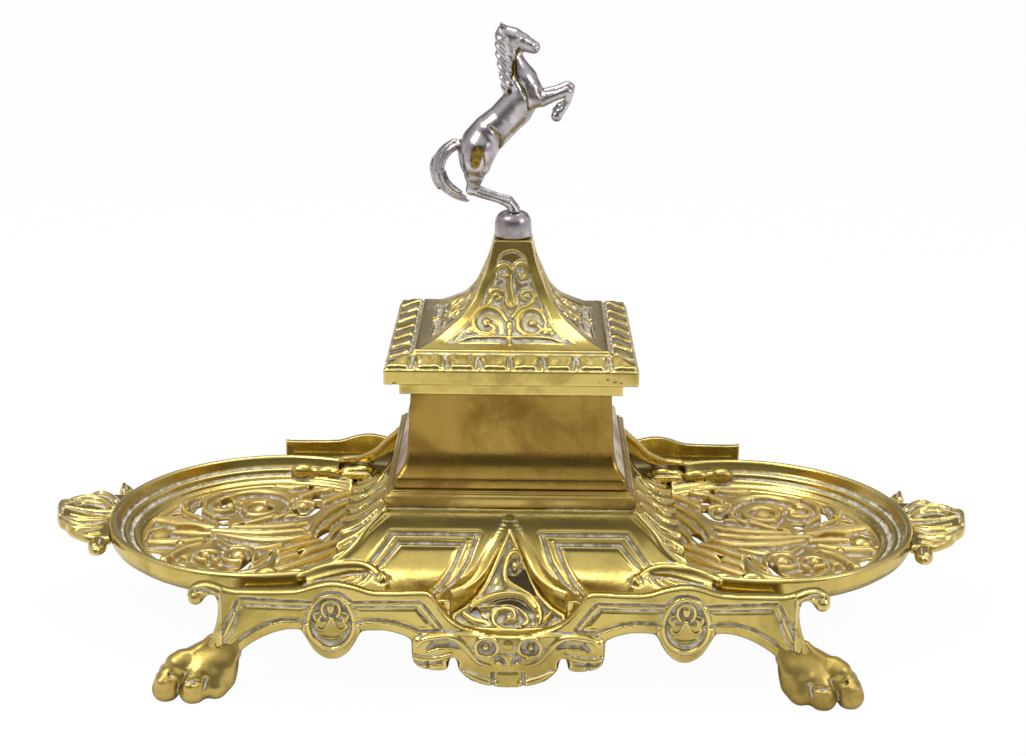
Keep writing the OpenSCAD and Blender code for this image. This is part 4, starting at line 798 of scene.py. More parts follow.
def fret():
    """Pierced panel in a cove, worked flat over (x, arc length) and bent onto its cylinder."""
    h = 0.24
    ax, az, rad = 88.0, 66.8, 52.9
    # arc length from the apex (v = 40.7) down to the foot, measured on the curve
    vs = np.linspace(39, 66, 541)
    zs = az - np.sqrt(rad**2 - (ax - vs)**2)
    arcs = np.concatenate([[0], np.cumsum(np.hypot(np.diff(vs), np.diff(zs)))])
    length = arcs[-1]
    lo, hi = (-19, 0.0, -1.6), (19, length, 3.0)
    u, s, w = grid(lo, hi, h)
    U, S = u[:, :, 0], s[:, :, 0]
    V = np.interp(S, arcs, vs)
    bounds = np.maximum(poly(U, V, FRET_SIDE + [(18, 65), (-18, 65)] + flip(FRET_SIDE)[::-1]), V - 64.9)
    holes = [[(-0.4, 48.9), (2.2, 48.9), (4.7, 47.6), (6.4, 50.2), (8.2, 53.6), (5.8, 52.6), (3, 51.4),
                (0.8, 50.4)], [(-4.2, 55.7), (-1.8, 54.8), (0.4, 54.6), (2.8, 55), (5, 56.2), (6.9, 57.9),
                (5.2, 58), (3, 56.9), (0, 56), (-3, 56.3)],
            [(2.2, 63.4), (3.4, 63.0), (5.2, 62.4), (4.2, 63.8), (2.8, 64)],
            [(-9.9, 57), (-8.6, 58.6), (-8, 60.2), (-10, 59.7), (-12.2, 58.7)]]
    cut = np.full(bounds.shape, 9.0, np.float32)
    for p in holes:
        cut = np.minimum(cut, poly(U, V, spline(p, 3, True)))
    ground = -0.9 * ledge(bounds + 1.5, 0.6)
    r = ground + 0 * U
    bands = [([(3.4, 46.6), (3.6, 45.4), (2.2, 44.4), (0.2, 44.8), (-1, 46.4), (-1.4, 48.4), (-0.8, 50.2),
                    (1.4, 51.6), (4.2, 52.9), (6.8, 54.4), (8.8, 56.8), (9.8, 59.6), (9.2, 62.4)],
                [0.8, 1.1, 1.1, 1.4, 1.5, 1.4, 0.9], 1.9),
            ([(-11, 56.6), (-8.4, 55.3), (-5, 54), (-1, 53.2), (2.6, 53.4), (5.6, 54.6), (8.2, 57)],
                [1.6, 1.3, 1.1, 1.3], 1.7), ([(-0.6, 61), (0.9, 60.8), (1.9, 59.6), (1.2, 58), (-1.2, 57.4),
                    (-3.8, 58.2), (-4.8, 60.2), (-4.2, 62.2), (-2, 63.6), (1.4, 64.2)],
                [0.9, 1.1, 1.2, 1.3, 1.1, 0.7], 1.8), ([(-9.4, 57.2), (-6.4, 56.8), (-3, 56.6), (1, 56.6),
                    (4.4, 58.4), (5.8, 60.4), (4.6, 62)], [0.9, 1.0, 0.9, 0.7], 1.5),
            ([(-13.8, 58.6), (-10.4, 60.6), (-6.6, 61.6), (-5.2, 64)], [1.0, 1.5, 1.1], 1.2),
            ([(13.2, 58), (10.8, 60.4), (8.4, 62.6)], [0.8, 1.6, 1.1], 1.2)]
    for p, wide, high in bands:
        d = bent(U, V, p, 5, wide)
        r = np.maximum(r, -0.9 + dome(d, 1.1, high))
        r = r - 0.25 * ledge(np.abs(d + 0.55) - 0.16, 0.2)
    for c, q, high in (((1.7, 46.9), 1.3, 2.1), ((0.2, 60.1), 1.4, 2.1), ((9, 59.5), 1.3, 1.6),
            ((7.6, 62), 1.2, 1.5)):
        d = disc(U, V, c, q)
        r = np.maximum(r, -0.9 + dome(d, q, high) * (d < 0) - 9 * (d >= 0))
    foot = 64.6 - 0.0035 * U**2 - V
    r = np.maximum(r, -0.9 + dome(np.abs(foot - 0.4) - 1.4, 1.3, 1.7))
    side = dome(np.abs(bounds + 0.9) - 0.9, 0.9, 1.4) - 0.9
    r = np.maximum(r, side)
    r = r + 0.18 * np.sin(2.1 * U + V) * np.sin(1.7 * V - 0.4 * U) * (r < -0.5)
    d = np.maximum(w - 0.7 - r[:, :, None], -w - 1.1)
    d = smax(d, bounds[:, :, None], 0.25)
    d = smax(d, -cut[:, :, None], 0.35)
    p, q, values = solid(lo, h, d)
    sunk = picture(ledge(r + 0.45, 0.3), lo[0], lo[1], h, p[:, 0], p[:, 1])
    values["cav"] = values["cav"] + 0.16 * sunk * (p[:, 2] > -0.6)
    v = np.interp(p[:, 1], arcs, vs)
    z = az - np.sqrt(rad**2 - (ax - v)**2)
    n = np.stack([ax - v, az - z], 1) / rad
    out = np.stack([p[:, 0], -(v + n[:, 0] * p[:, 2] * 1.0), z + n[:, 1] * p[:, 2]], 1)
    return out, q[:, ::-1], values


cove_fret = fret()
piece("front_fret_casting", cove_fret, ["front_fret"], slot="pierced_brass", mat=BRASS)
piece("rear_fret_casting", cove_fret, ["rear_fret"], slot="pierced_brass", mat=BRASS, turn=180)


def rim():
    """Moulded rim of the right tray, with the double-lobed leaves at its inner ends."""
    h = 0.42
    lo, hi = (57.0, -54.6, 23.2), (134.2, 0, 34.2)
    x, y, z = grid(lo, hi, h)
    q = np.hypot(x - TRAY_X, y)
    profile = [(54, 28.4)] + [(52.7 + 1.3 * math.cos(a), 31.7 + 1.3
                * math.sin(a)) for a in np.radians([0, 30, 60, 90, 120, 150])]
    profile += [(51.5, 31.9), (50.6, 29.7), (49.7, 28.9), (49.0, 29.3), (48.5, 29.5), (48.0, 29.1),
            (47.6, 27.9), (46.9, 27.2), (46.1, 27.3), (45.6, 27.9), (45.0, 27.7), (44.4, 26.6),
            (43.4, 26.1), (42.9, 25.5), (42.8, 24.8), (45.05, 24.6), (45.05, 24), (50, 24), (53, 26.4)]
    rr, zz = axis(41, 56, 0.2)[:, None], axis(23, 34.5, 0.2)[None, :]
    table = poly(rr, zz, profile)
    shape = np.broadcast(x, y, z).shape
    d = picture(table, 41, 23, 0.2, np.broadcast_to(q, shape), np.broadcast_to(z, shape))
    d = np.where(np.broadcast_to(q, shape) < 41.4, 3, d)
    for centre, radii in (((66.4, -45.4, 29.6), (4.1, 2.3, 2.1)), ((63.6, -45.2, 29.3), (2.2, 2.4, 1.9)),
            ((75.4, -46.0, 29.2), (4.3, 2.6, 2.9)), ((70.8, -46.2, 29.0), (2.2, 2.0, 2.0))):
        d = smin(d, egg(x, y, z, centre, radii), 0.5)
    u, v = x[:, :, 0], -y[:, :, 0]
    side = poly(u, v, [(57, -1), (57, 45.2), (61.4, 46.6), (63.2, 47.2), (61, 52), (61, 64), (20, 64),
                (20, -1)])
    d = np.maximum(d, -side[:, :, None])
    d = doubled(d)
    return solid(lo, h, d)


def tray_floor(open_more):
    """Pierced floor of the right tray: scrolls, long leaves and palmette over a ground with openings."""
    h = 0.34
    lo, hi = (57.1, -45.22, 21.4), (125.3, 45.22, 27.9)
    x, y, z = grid(lo, hi, h)
    u, v = x[:, :, 0], y[:, :, 0]
    r = np.full((u.shape[0], v.shape[1]), -0.55, np.float32)

    def add(p, w, high=1.7, vein=0.45, n=5):
        nonlocal r
        d = bent(u, v, p, n, w)
        r = np.where(d < 0.25, np.maximum(leaf(u, v, p, w, high, n, vein), r * (d > -0.1) - 0.5
                    * (d > -0.1)), r)

    def ball(c, q, high=1.9):
        nonlocal r
        d = disc(u, v, c, q)
        r = np.where(d < 0.4, np.where(d < 0, np.maximum(dome(d, q, high), r), np.minimum(r, 0.2)), r)

    def curl(c, r0, r1, a0, a1, w, high=1.8, vein=0.35):
        add([tuple(q) for q in volute(c, r0, r1, a0, a1, 22)], w, high, vein, 3)

    # long leaves beside the hip and in the middle
    for p, w, high in (([(56, 30), (62.5, 20), (66.4, 9), (67.6, -3)], [1.2, 1.9, 1.6, 0.8], 1.7),
            ([(56, 22), (60.6, 13), (63.4, 4), (64.6, -4)], [1.2, 1.6, 1.2, 0.7], 1.5),
            ([(56, 11), (59, 4), (60.6, -5)], [1.2, 1.5, 0.8], 1.4),
            ([(56, 38), (61.6, 33.6), (65.6, 27)], [1.3, 1.9, 1.0], 1.6),
            ([(60, 45), (65, 39.6), (69.4, 37.4), (74.6, 31), (76, 25)], [1.4, 1.9, 1.7, 1.2], 1.7),
            ([(66, 46), (72, 44.6), (78, 41.6), (84, 42.4)], [1.2, 1.8, 1.2], 1.5),
            ([(56, -7), (65.4, -15.4), (75.6, -24.4), (85.6, -35.6)], [1.3, 2.0, 1.8, 0.8], 1.8),
            ([(56, -14), (63.6, -22), (73, -30), (81.6, -37.4)], [1.3, 1.9, 1.6, 0.8], 1.8),
            ([(56, -22), (62, -28.6), (69.6, -35.6), (77, -40.6)], [1.2, 1.8, 1.5, 0.8], 1.6),
            ([(63.6, -7), (71, -12.6), (78, -19.6), (83, -28)], [1.0, 1.8, 1.6, 0.8], 1.7),
            ([(56, -30), (61, -35.4), (67, -40.6)], [1.2, 1.7, 1.0], 1.5),
            ([(67, -3), (75, -7), (86, -6.6), (98, -2.6)], [1.0, 1.9, 1.9, 1.0], 1.8),
            ([(70, 1), (80, -1.4), (90, -1), (100, 0)], [1.2, 1.8, 2.0, 1.3], 1.9),
            ([(69.6, 7.4), (77, 4.6), (86, 3.4), (94, 3.6)], [1.1, 1.6, 1.5, 1.0], 1.7),
            ([(74, 14), (80.6, 13.4), (87.6, 8.6), (94, 5.4)], [1.0, 1.5, 1.3, 0.8], 1.7),
            ([(76, -11), (84, -15), (91, -13.4), (96, -8)], [1.0, 1.5, 1.4, 0.9], 1.7)):
        add(p, w, high)
    # great loops with their volutes
    curl((88.4, 23), 13.4, 13.6, 232, 20, [1.2, 2.1, 1.9, 1.4], 1.9)
    curl((87, 19.4), 6.2, 5.0, 300, -80, [1.4, 1.5, 1.2], 2.1)
    ball((87, 19.4), 2.9, 2.5)
    curl((99.4, 21.4), 6.2, 3.2, 150, -150, [1.1, 1.3, 0.8], 1.8)
    ball((97.6, 21), 1.8, 2.4)
    curl((89.2, -23.2), 12.6, 12.6, 150, 330, [1.1, 1.8, 1.3], 1.8)
    curl((88.4, -21), 5.6, 4.4, 60, 400, [1.2, 1.5, 1.0], 2.0)
    ball((88.4, -20.6), 2.6, 2.5)
    curl((98.6, -21.6), 4.6, 3.0, 230, -90, [1.0, 1.3, 0.8], 1.9)
    ball((98.8, -21.4), 1.7, 2.4)
    ball((72.6, 22.6), 2.1, 2.3)
    curl((72.4, 22), 5.0, 4.4, 140, -40, [1.0, 1.4, 1.0], 1.7)
    add([(103.4, 34), (107.2, 27.6), (106, 19), (101.6, 12.4)], [1.2, 1.8, 1.6, 0.9], 1.8)
    add([(110, 33), (113.4, 26), (112.4, 18.6), (106, 11)], [1.3, 1.5, 1.3, 0.9], 1.5)
    add([(104, -34), (107.6, -28), (104.6, -21), (100, -14)], [1.2, 1.6, 1.4, 0.9], 1.7)
    # palmette
    for p, w, high in (([(100.4, 2), (107, 4.2), (114, 7.4), (120.6, 9)], [1.5, 2.3, 2.9, 1.9], 2.3),
            ([(100.4, -3.4), (107, -2.8), (113, -2.2)], [1.2, 1.8, 1.4], 2.0),
            ([(102.6, -7.6), (110, -10.4), (119, -10.6)], [1.2, 1.9, 1.7], 2.0),
            ([(102.4, -11.6), (107.6, -16), (112, -24.6)], [1.2, 2.2, 1.6], 2.0),
            ([(118, 2), (121.6, -2), (121.6, -8)], [1.2, 1.4, 1.0], 1.6)):
        add(p, w, high)
    ball((117, -4), 3.3, 2.5)
    ball((114, 10.4), 1.6, 1.9)
    ball((108.6, -12.8), 1.4, 2.2)
    ring = np.hypot(u - TRAY_X, v)
    r = np.maximum(r, 0.9 * dome(42.2 - ring, 1.0, 1.0) - 2 * (ring < 42.2))
    holes = np.full(r.shape, 9.0, np.float32)
    for p in [[(108, 26), (107.2, 20), (107.4, 14), (110, 15.4), (112, 17.6), (110, 21), (109.6, 25)],
            [(114, 11), (119.4, 11.4), (118.6, 14.6), (115.6, 18.6), (114, 17)],
            [(99.4, 10), (96.8, 6.6), (95.6, 2.4), (97.4, 3), (99.6, 7.6)],
            [(114.6, -24), (114.6, -16), (120, -14.6), (118, -20)],
            [(105, -24), (110, -23), (109, -27.6), (106, -29.4)],
            [(66.6, 25), (68.4, 26), (70, 20.4), (72.4, 19), (75.6, 20), (76, 17.6), (72, 16.4),
                (68.6, 19)], [(67, 35), (69.6, 35.4), (70.4, 32.4), (67.6, 32)],
            [(70.4, 43.6), (72.6, 43.2), (72, 40.6)], [(79, 37.4), (84.4, 39.6), (80.4, 39.8)],
            [(82.4, 25.4), (86, 28.6), (89, 30.4), (88.6, 27.6), (84.6, 25)],
            [(95.6, 28.6), (99.6, 28), (99, 25.6), (96, 26)],
            [(97, 14.4), (100, 13.8), (99.6, 10.8), (97.4, 11)], [(90, 7.6), (92, 6.4), (91.6, 4.4)],
            [(82.4, 6.8), (84.8, 6.4), (84, 4.2)], [(71.4, 8), (73.6, 7.6), (72.6, 5.6)],
            [(84, -20.4), (83.4, -25), (87, -31.6), (89.6, -30), (86.6, -27), (85, -22.6)],
            [(93, -26), (96, -28.4), (100.6, -27.4), (101.4, -24.6), (97.4, -26)],
            [(83, -11), (85.4, -11.6), (84.4, -13.4)], [(93.6, -15.4), (96, -15.6), (95.4, -18.4)],
            [(67.4, -17), (69.6, -18), (68.6, -20)], [(77, -17.6), (79, -18.4), (78.2, -20.4)],
            [(61, 5), (63, 3), (65.6, -3), (64.4, -5.4), (62, 0)],
            [(103, 0.6), (111.6, 2.6), (112.6, 4), (106, 2.4)],
            [(102.6, -5.6), (111, -6), (112, -7.4), (104, -7.2)]] + open_more:
        holes = np.minimum(holes, poly(u, v, spline(p, 2, True)))
    web = np.maximum(-holes, ring - 44.95)
    top = 24.3 + r
    d = np.maximum(z - top[:, :, None], 22.5 - z)
    d = smax(d, web[:, :, None], 0.7)
    return solid(lo, h, d)


def leaf_finial():
    """Curled leaf at the end of the right tray with its two side buds."""
    h = 0.3
    lo, hi = (127, -31.2, 26.2), (154.4, 31.2, 34)
    x, y, z = grid(lo, hi, h)
    u, v = x[:, :, 0], y[:, :, 0]
    form = poly(u, v, spline([(130, 20), (135.6, 19.2), (138.6, 19), (141.6, 19.9), (144, 18.6),
                    (145.6, 15.6), (147.6, 12), (149.8, 10.8), (150.9, 8.2), (152.7, 6), (152.9, 3.4),
                    (152, -1), (151, -5), (149.4, -8.6), (147, -11), (144.6, -14.8), (141, -17.4),
                    (137.6, -19.2), (130, -20)], 3))
    bud_a = poly(u, v, spline([(131, 24), (132.8, 27.2), (135, 29.4), (136.6, 29.6), (136.9, 26.6),
                    (136.1, 22), (134, 18)], 3))
    bud_b = poly(u, v, spline([(134, -18), (136.6, -21.4), (136.2, -25), (134.6, -28.4), (132.2, -29),
                    (130.4, -26), (131, -20)], 3))
    form2 = np.minimum(form, np.minimum(bud_a, bud_b))
    r = dome(form2, 1.6, 1.6) - 0.4
    for p, w, high in (([(133, 1), (138, 0.6), (144, 1.4), (150, 3)], [1.6, 1.5, 1.2, 0.9], 3.0),
            ([(134.6, 6), (138, 10.4), (142, 12.4), (146.6, 11.6), (149.6, 8.6)], [1.0, 1.6, 1.8, 1.0],
                3.0), ([(135, 12), (138, 16), (141.6, 17.6), (143.8, 15)], [1.2, 1.7, 1.2], 2.8),
            ([(134.6, -5), (138.6, -7.4), (143.4, -7.8), (148.6, -6)], [1.1, 1.7, 1.7, 0.9], 3.0),
            ([(134.8, -11), (138.4, -13.4), (142.4, -13.8), (145.6, -12)], [1.1, 1.7, 1.4], 2.8),
            ([(134.6, -16.4), (137.4, -17.4)], [1.3, 1.0], 2.4),
            ([(149.4, 8), (151.6, 5.6), (151.4, 1), (150, -4.6)], [0.9, 1.1, 1.0, 0.7], 2.9),
            ([(134.6, 22), (135.6, 27.6)], [1.1, 1.0], 2.6),
            ([(134.4, -21), (133.6, -26.6)], [1.4, 1.4], 2.6)):
        r = np.maximum(r, leaf(u, v, p, w, high, 5, 0.5) - 0.4)
    r = r - 1.2 * ledge(bent(u, v, [(137, 5.4), (140, 8), (144.4, 8.4), (147, 6)], 4, [0.8, 1.5, 1.4, 0.8]),
            0.5)
    r = r - 0.8 * ledge(bent(u, v, [(136.4, -3.4), (141, -4.4), (146.6, -3.2)], 4, 0.5), 0.3)
    r = r - 0.8 * ledge(bent(u, v, [(136.4, -10), (140.6, -10.8), (145, -9.8)], 4, 0.45), 0.3)
    ring = np.hypot(u - TRAY_X, v)
    bow = 0.035 * np.maximum(0, u - 134)**1.6
    d = np.maximum(z - 29.3 - r[:, :, None] - bow[:, :, None] * 0.5, 27.7 - z + bow[:, :, None] * 0.4)
    d = smax(d, form2[:, :, None], 0.8)
    d = np.maximum(d, (54.06 - ring)[:, :, None])
    return solid(lo, h, d)


pair("tray_rim_casting", rim(), "tray_rim", mat=BRASS)
LEFT_OPEN = [[(98, 29.6), (101.4, 28), (101, 24.6), (97, 25.4)],
        [(81, 23), (83, 26), (85.6, 24.6), (82.6, 19.4)], [(96.6, 9.6), (99.6, 8), (99, 4), (96.4, 5)]]
for side, more, mirror in (("right", [], None), ("left", LEFT_OPEN, 0)):
    piece(side + "_tray_scrollwork", tray_floor(more), [side + "_tray_grille"], slot="pierced_brass",
            mat=PIERCED, mirror=mirror)
pair("leaf_finial", leaf_finial(), "tray_finial", mat=BRASS)


def blob(g, stations, k=0.9):
    """Smooth union of balls and tapered rods; each rod is a list of (x, y, z, r)."""
    x, y, z = g
    d = np.full(np.broadcast(x, y, z).shape, 30.0, np.float32)
    for rod in stations:
        rod = np.array(rod, float)
        if len(rod) == 1:
            rod = np.vstack([rod, rod + 1e-3])
        d = smin(d, chain(x, y, z, rod), k)
    return d


def paw():
    """Front right lion's paw: four toes with knuckles, pad and ankle."""
    h = 0.34
    lo, hi = (81.4, -78.4, -1), (108, -61.4, 19.8)
    g = grid(lo, hi, h)
    x, y, z = g
    foot = [[(88, -67.0, 9, 5.0), (92, -67.6, 7.4, 5.6), (96, -68.6, 6, 5.4)],
            [(88.4, -68.8, 5, 4.8), (92, -69.6, 4.4, 5.0)]]
    leg = poly(x[:, :, 0], z[0], [(74, 23), (89.4, 20), (92.6, 16.6), (97.4, 13.4), (99, 8), (84, 5),
                (82.6, 10.6), (80, 14.6)])
    leg = smax(leg[:, None, :], np.abs(y + 66.3) - 3.3 + 0.24 * np.clip(z - 10, 0, 9), 1.6)
    d = smin(blob(g, foot, 2.4), smax(leg, z - 19, 0.8), 4.5)
    toes = [[(98.4, -68.0, 10.4, 3.9), (100.0, -69.0, 9.8, 3.8)],
            [(102.4, -71.0, 6.0, 4.1), (103.2, -71.9, 3.4, 4.2)],
            [(92.8, -70.6, 8.4, 3.2), (93.6, -71.2, 7.8, 3.2)],
            [(94.4, -72.2, 5.2, 4.0), (94.9, -72.8, 3.2, 4.2)], [(88.6, -70.0, 6.6, 3.8)],
            [(88.4, -71.2, 4.0, 3.9)], [(102.8, -67.2, 6.2, 3.4), (103.6, -67.6, 3.4, 3.4)]]
    for t in toes:
        d = smin(d, blob(g, [t], 0.3), 1.0)
    for c in ((104.0, -74.6, 6.6, 1.7), (95.6, -75.6, 5.8, 1.6)):
        d = smin(d, blob(g, [[c]], 0.3), 1.6)
    # creases between the toes and over the knuckles
    for p, w in (([(98.2, -79, 0.5), (98.6, -75.4, 5.4), (97.2, -73.4, 9.0)], 0.7),
            ([(90.9, -78, 0.5), (91, -75.4, 4.6), (90.6, -73.8, 7.4)], 0.5),
            ([(100.6, -74.0, 8.6), (105.4, -70.2, 8.2)], 0.5),
            ([(92.0, -75.4, 7.4), (96.0, -75.0, 7.4)], 0.45)):
        d = smax(d, -blob(g, [[(*q, w) for q in p]], 0.3), 0.9)
    d = smax(d, -z, 0.6)
    return solid(lo, h, d)


foot = paw()
for corner, place in (("front_right", {}), ("front_left", {"mirror": 0}), ("rear_left", {"turn": 180}),
        ("rear_right", {"mirror": 1})):
    piece(corner + "_lion_paw", foot, [corner + "_paw"], mat=DULL, **place)


def horse():
    """Rearing horse in side view along X, with head, folded forelegs, mane and tail."""
    h = 0.25
    lo, hi = (-28, -7.6, 134.6), (20.6, 7.6, 196.4)
    g = grid(lo, hi, h)
    x, y, z = g
    g = (x, np.abs(y), z)
    trunk = [[(-12.8, 0, 154.4, 4.7), (-10.6, 0, 157.4, 5.9), (-7.6, 0, 160.6, 6.0), (-3.4, 0, 164.4, 5.5),
                (0.4, 0, 168.4, 5.7), (3.0, 0, 172.6, 5.4), (2.4, 0, 176.6, 4.7)],
            [(2.0, 0, 177.2, 4.6), (0.6, 0, 180.6, 3.9), (-1.2, 0, 184.2, 3.5), (-2.4, 0, 187.8, 3.2),
                (-2.8, 0, 190.6, 2.6)]]
    d = blob(g, trunk, 2.4)
    d = smin(d, blob(g, [[(5.4, 2.0, 174.2, 3.2), (3, 2.6, 171, 3.4)]], 1), 1.6)
    d = smin(d, blob(g, [[(-10.6, 2.4, 156.2, 4.6), (-12.4, 3, 152.2, 4.0)]], 1), 1.6)
    head = [[(-3.0, 0, 190.6, 3.2), (-0.6, 0, 189.9, 3.4), (2.2, 0, 188.8, 2.9), (4.6, 0, 187.7, 2.3),
                (5.9, 0, 187.2, 2.0)], [(-2.2, 0.8, 187.6, 2.3), (1.0, 0.7, 187.0, 1.6)]]
    d = smin(d, blob(g, head, 1.0), 1.2)
    d = smin(d, blob(g, [[(-3.9, 1.4, 192.0, 0.95), (-4.3, 1.7, 194.6, 0.35)]], 0.3), 0.4)
    d = smin(d, blob(g, [[(1.0, 2.7, 190.2, 0.62)]], 0.3), 0.3)
    d = smax(d, -blob(g, [[(6.7, 1.5, 187.9, 0.42)]], 0.3), 0.25)
    d = smax(d, -blob(g, [[(7.9, 0, 186.2, 0.2), (6.0, 1.7, 186.7, 0.24), (5.2, 2, 187.0, 0.2)]], 0.3), 0.2)
    # forelegs: the near one a little lower than the far one
    full = (x, y, z)
    for s, dx, dz in ((-1, 0.0, -0.4), (1, 0.5, 0.2)):
        d = smin(d, blob(full, [[(4.4, 2.6 * s, 171.8, 3.2), (8.6, 3.0 * s, 171.6, 2.4),
                        (12.4 + dx, 3.0 * s, 173.2 + dz, 1.7), (16.0 + dx, 3.0 * s, 174.6 + dz, 1.75)]],
                    1.0), 1.4)
        d = smin(d, blob(full, [[(17.0 + dx, 3.0 * s, 174.2 + dz, 1.45),
                        (16.6 + dx, 3.0 * s, 171.6 + dz, 1.05), (15.4 + dx, 3.0 * s, 169.4 + dz, 1.1),
                        (14.2 + dx, 3.0 * s, 168.2 + dz, 1.4)],
                        [(13.9 + dx, 3.0 * s, 168.2 + dz, 1.5), (13.2 + dx, 3.0 * s, 166.9 + dz, 1.8)]],
                    0.5), 0.5)
    # hind legs, feet together on the socket
    for s in (-1, 1):
        d = smin(d, blob(full, [[(-11.2, 2.4 * s, 155, 5.0), (-11.7, 2.6 * s, 151.2, 4.5),
                        (-12.3, 2.8 * s, 147.6, 3.2), (-12.6, 2.7 * s, 144.6, 2.2),
                        (-13.2, 2.6 * s, 142.9, 1.8)]], 1.0), 2.6)
        d = smin(d, blob(full, [[(-13.4, 2.6 * s, 142.9, 1.55), (-9.6, 2.4 * s, 141.3, 1.3),
                        (-4.8, 2.1 * s, 139.8, 1.15), (-1.8, 1.9 * s, 138.7, 1.5)],
                        [(-1.2, 1.9 * s, 138.4, 1.4), (0.1, 1.9 * s, 136.6, 1.6),
                        (0.3, 1.9 * s, 135.9, 1.9)]], 0.6), 0.5)
    # mane: locks that lie slanting on both sides of the neck
    mane = blob(g, [[(-3.8, 0.8, 192.6, 1.5), (-3.8, 2.0, 189.4, 2.2), (-3.2, 2.5, 185.0, 2.6),
                    (-2.4, 3.0, 180.6, 2.5), (-2.4, 3.4, 176.6, 1.9), (-2.8, 3.2, 173.6, 0.9)]], 1)
    lock = 0.3 * np.sin(2.3 * (z + 0.95 * x)) * np.clip(np.abs(y) - 0.6, 0, 1)
    d = smin(d, mane + lock * np.clip(1.2 - mane, 0, 1), 0.4)
    tail = blob(g, [spline([(-15.4, 0, 157.0, 1.5), (-19.0, 0, 156.4, 1.9), (-22.4, 0, 153.6, 2.2),
                    (-24.0, 0, 149.8, 2.4), (-23.4, 0, 146.2, 2.5), (-20.8, 0, 143.0, 2.2),
                    (-17.4, 0, 140.6, 1.5), (-14.8, 0, 138.9, 0.6)], 2)], 1)
    ang = np.arctan2(z - 148.6, x + 14.5)
    rad = np.hypot(z - 148.6, x + 14.5)
    hair = 0.24 * np.sin(4.4 * rad + 0.5 * ang + 1.2 * np.abs(y)) * np.clip(1.4 - tail, 0, 1)
    d = smin(d, tail + hair, 0.6)
    # creases: beside the mane, shoulder, flank, thigh, elbow
    u, w = x[:, :, 0], z[0]
    for p, wide, deep in (([(1.2, 187), (0.4, 184), (0.2, 180), (1.8, 176.4), (3.8, 172.6), (4.4, 168.4)],
                0.8, 0.8), ([(-7.6, 163.4), (-5.6, 161.4), (-4.4, 158.6), (-4.6, 156.2)], 0.9, 0.7),
            ([(-9.2, 154.6), (-9.0, 151.4), (-9.8, 148.6)], 0.7, 0.5),
            ([(-16.0, 154.4), (-15.6, 150.6), (-14.4, 147.6)], 0.6, 0.5),
            ([(7.6, 174.6), (8.6, 172.4), (8.2, 170.2)], 0.5, 0.5),
            ([(-0.2, 186.4), (2.0, 186.2)], 0.4, 0.4)):
        line = bent(u, w, p, 4, [0.2, wide, 0.2])
        d = d + deep * ledge(line, 0.6)[:, None, :] * np.clip(np.abs(y) - 0.8, 0, 1)
    d = np.maximum(d, 135.9 - z)
    return solid(lo, h, d)


piece("rearing_horse", horse(), ["horse"], "lid", "silver_plate", SILVER)


def turned(profile, steps=96):
    """Surface of revolution about Z from (radius, z) points, closed at its ends on the axis."""
    p = np.array(profile)
    a = np.linspace(0, 2 * math.pi, steps, endpoint=False)
    pts = np.stack([p[:, :1] * np.cos(a), p[:, :1] * np.sin(a), np.repeat(p[:, 1:], steps, 1)],
            2).reshape(-1, 3)
    i = np.arange(len(p) - 1)[:, None] * steps
    j = np.arange(steps)[None, :]
    k = (j + 1) % steps
    q = np.stack([i + j, i + k, i + steps + k, i + steps + j], 2).reshape(-1, 4)
    return pts, q, {}


def squared(profile, n=41):
    """Closed ring of square plan from a section of (half width, z) points, its long sides finely divided."""
    p = np.array(profile)
    t = np.linspace(-1, 1, n)[:-1]
    ring = np.concatenate([np.stack([t, -np.ones(n - 1)], 1), np.stack([np.ones(n - 1), t], 1),
                np.stack([-t, np.ones(n - 1)], 1), np.stack([-np.ones(n - 1), -t], 1)])
    m = len(ring)
    pts = np.concatenate([np.concatenate([ring * w, np.full((m, 1), z)], 1) for w, z in p])
    i = np.arange(len(p))[:, None] * m
    j = np.arange(m)[None, :]
    k = (j + 1) % m
    nxt = (i + m) % (len(p) * m)
    q = np.stack([i + j, i + k, nxt + k, nxt + j], 2).reshape(-1, 4)
    return pts, q, {}


def rounded(p, r, n=4):
    """Closed section with each sharp corner cut round at radius r; a third value on a point overrides r."""
    out = []
    for i, b in enumerate(p):
        a, c = np.array(p[i - 1][:2]), np.array(p[(i + 1) % len(p)][:2])
        q = np.array(b[:2])
        u, v = (a - q) / np.linalg.norm(a - q), (c - q) / np.linalg.norm(c - q)
        k = b[2] if len(b) > 2 else r
        k = min(k, 0.45 * np.linalg.norm(a - q), 0.45 * np.linalg.norm(c - q))
        for s in np.linspace(0, 1, n):
            out.append(tuple((1 - s)**2 * (q + u * k) + 2 * s * (1 - s) * q + s * s * (q + v * k)))
    return out


plinth = rounded([(26, 48.52), (38.2, 48.52), (38.25, 49.4), (38.9, 50.0, 0.6), (39.25, 51.7, 1.6),
            (39.0, 53.3, 1.2), (38.4, 53.9), (37.7, 54.1), (37.5, 54.86), (26, 54.86)], 0.25)
piece("plinth_moulding", squared(plinth), ["box_plinth"], slot="dull_brass", mat=DULL)
box = rounded([(28.7, 85.2), (28.7, 58), (26, 57.3), (26, 55), (36.3, 55), (36.3, 56.2, 0.5),
            (36.0, 58.3, 0.8), (35.0, 59.3, 1.0), (33.5, 61.4, 1.8), (32.3, 65.0, 2.5), (31.75, 74, 3),
            (31.2, 83.5), (31.1, 85.2)], 0.2)
piece("ink_box_shell", squared(box), ["ink_box"], slot="dull_brass", mat=BOXED)


